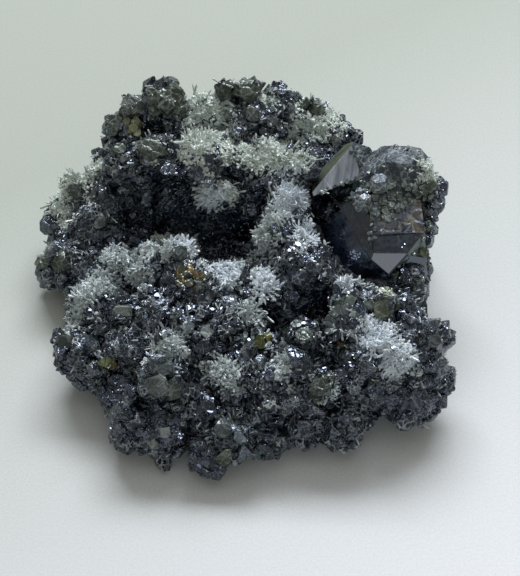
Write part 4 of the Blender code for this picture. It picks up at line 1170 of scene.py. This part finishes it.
def grow_druse(shapes, material):
    """Mats of short needles, thick inside each disc of the picture and on the far sides."""
    rng = draws("mats")
    spots, normals = spots_on_ground(MAT_SPOTS, rng)
    at = in_picture(spots)
    for name, discs in DRUSE.items():
        chosen = np.flatnonzero(inside_discs(at, discs) < 0.7 + 0.8 * rng.random(len(at)) ** 2)
        chosen = chosen[is_seen(spots[chosen])]
        druse_mat(name, spots[chosen], normals[chosen], shapes, material, rng)
    chosen = depth_in_side_druse(spots) < rng.uniform(0.5, 1.1, len(spots))
    chosen = np.flatnonzero(chosen & (rng.random(len(spots)) < 0.4))
    chosen = chosen[~is_seen(spots[chosen])]
    druse_mat("quartz_druse_sides_mat", spots[chosen], normals[chosen], shapes, material, rng)


def grow_grains(shapes, material):
    """Single grains of quartz, strewn in drifts over the worn sphalerite and along some rims."""
    rng = draws("grains")
    spots, normals = spots_on_ground(GRAINS, rng)
    keep = (drift(spots, 7) > rng.normal(0.6, 0.8, GRAINS)) & (normals[:, 2] > 0)
    keep &= inside_discs(in_picture(spots), SHADED_CLEAN) > 1
    for centre, planes in LARGE_CRYSTALS.values():
        keep &= height_above(spots, centre, planes) > 1.0
    spots, normals = spots[keep], normals[keep]
    rims = []
    for across, down, wide, high, count in GRAIN_RINGS:
        for angle in rng.uniform(0, 2 * math.pi, count):
            rims.append(ground_at(*around(across, down, wide, high, angle, rng.normal(1, 0.06))))
    spots = np.concatenate([spots, [point for point, _ in rims]])
    normals = np.concatenate([normals, [normal for _, normal in rims]])
    count = len(spots)
    radii = rng.uniform(*GRAIN_RADII, count)
    sizes = np.stack([radii, radii * 0.8, rng.uniform(*GRAIN_LENGTHS, count)], axis=1) * MM
    kinds = rng.integers(0, len(shapes), count)
    directions = rng.normal(size=(count, 3)) * 0.5 + normals
    quartz_piece("quartz_grains", shapes, kinds, spots, 0.0, directions, sizes, material, rng)


def grow_blades(shapes, material):
    """The broad blades that stand clear of the sprays, each from a foot on the specimen."""
    rng = draws("blades")
    feet, directions, sizes = [], [], []
    for across, down, tip_across, tip_down, width in BLADES:
        foot, _ = ground_at(across, down)
        out = RIGHT * (tip_across - across) - UP * (tip_down - down)
        length = out.length / PIXELS
        foot += AWAY * 0.6 * MM
        feet.append(foot - out.normalized() * 0.3 * MM)
        directions.append(out.normalized() + AWAY * rng.uniform(0.25, 0.5))
        sizes.append(Vector((width / 2, width / 2 * rng.uniform(0.4, 0.7), length * 1.1)) * MM)
    kinds = rng.integers(0, len(shapes), len(feet))
    feet, directions, sizes = map(np.array, (feet, directions, sizes))
    quartz_piece("quartz_blades", shapes, kinds, feet, 0.0, directions, sizes, material, rng)


# --- Desk top, light and camera ---
def set_stage():
    """The painted desk top that the specimen lies on, the room, the lights and the camera. The desk
    top's colour is darker towards the rear left and paler towards the front right: painted light,
    falling off across it.
    """
    bm = bmesh.new()
    bmesh.ops.create_grid(bm, x_segments=1, y_segments=1, size=DESK_HALF)
    mesh = bpy.data.meshes.new("desk_top")
    bm.to_mesh(mesh)
    bm.free()
    material, tree, shader = new_material("painted_board", Roughness=0.55)
    coords = add(tree, "TexCoord").outputs["Object"]
    # Painted light: the desk top grows paler from the rear left to the front right, as if lit more
    # there.
    light_falloff = add(
        tree, "VectorMath", {0: coords, 1: (0.5, -0.8, 0.0)}, operation="DOT_PRODUCT"
    ).outputs["Value"]
    tone = add(tree, "MapRange", {"Value": light_falloff, 1: -0.05, 2: 0.08, 3: 0.0, 4: 1.0})
    colour = ramp(tree, tone.outputs[0], (0.0, "#bac1b3"), (1.0, "#fcfeff"))
    grain = add(tree, "TexNoise", {"Vector": coords, "Scale": 1 / (DESK_GRAIN * MM), "Detail": 3.0})
    shade = ramp(tree, grain.outputs["Fac"], (0.3, "#f3f3f3"), (0.7, "#ffffff"))
    colour = add(
        tree, "Mix", {0: 1.0, 6: colour, 7: shade}, data_type="RGBA", blend_type="MULTIPLY"
    ).outputs[2]
    tree.links.new(colour, shader.inputs["Base Color"])
    mesh.materials.append(material)
    desk = bpy.data.objects.new("desk_top", mesh)
    bpy.context.scene.collection.objects.link(desk)

    world = bpy.data.worlds.new("studio")
    world.use_nodes = True
    background = world.node_tree.nodes["Background"]
    background.inputs["Color"].default_value = srgb(ROOM_LIGHT)
    background.inputs["Strength"].default_value = ROOM_STRENGTH
    bpy.context.scene.world = world

    for name, (direction, distance, width, height, watts, colour) in LIGHTS.items():
        data = bpy.data.lights.new(name, "AREA")
        data.shape = "RECTANGLE"
        data.size = width
        data.size_y = height
        data.energy = watts
        data.color = srgb(colour)[:3]
        lamp = bpy.data.objects.new(name, data)
        away = Vector(direction).normalized()
        lamp.location = CAMERA_TARGET + away * distance
        lamp.rotation_euler = away.to_track_quat("Z", "Y").to_euler()
        bpy.context.scene.collection.objects.link(lamp)

    data = bpy.data.cameras.new("camera")
    data.lens = LENS
    data.sensor_width = SENSOR
    data.clip_start = 0.01
    camera = bpy.data.objects.new("camera", data)
    camera.location = CAMERA
    camera.rotation_euler = AWAY.to_track_quat("Z", "Y").to_euler()
    bpy.context.scene.collection.objects.link(camera)
    bpy.context.scene.camera = camera
    bpy.context.scene.view_settings.view_transform = "Standard"


finish_mass()
GROUND = surface_of([mass, *finish_large_crystals()])
grow_small_crystals()
grow_single_crystals()
needle_shapes = needles(draws("needles"), NEEDLE_SHAPES)
quartz = needle_quartz("milky_quartz_needles", MILKY)
grow_sprays(needle_shapes, quartz)
grow_druse(needle_shapes, quartz)
grow_blades(needle_shapes, needle_quartz("clear_quartz_blades", CLEAR))
grow_grains(needle_shapes, quartz)
set_stage()
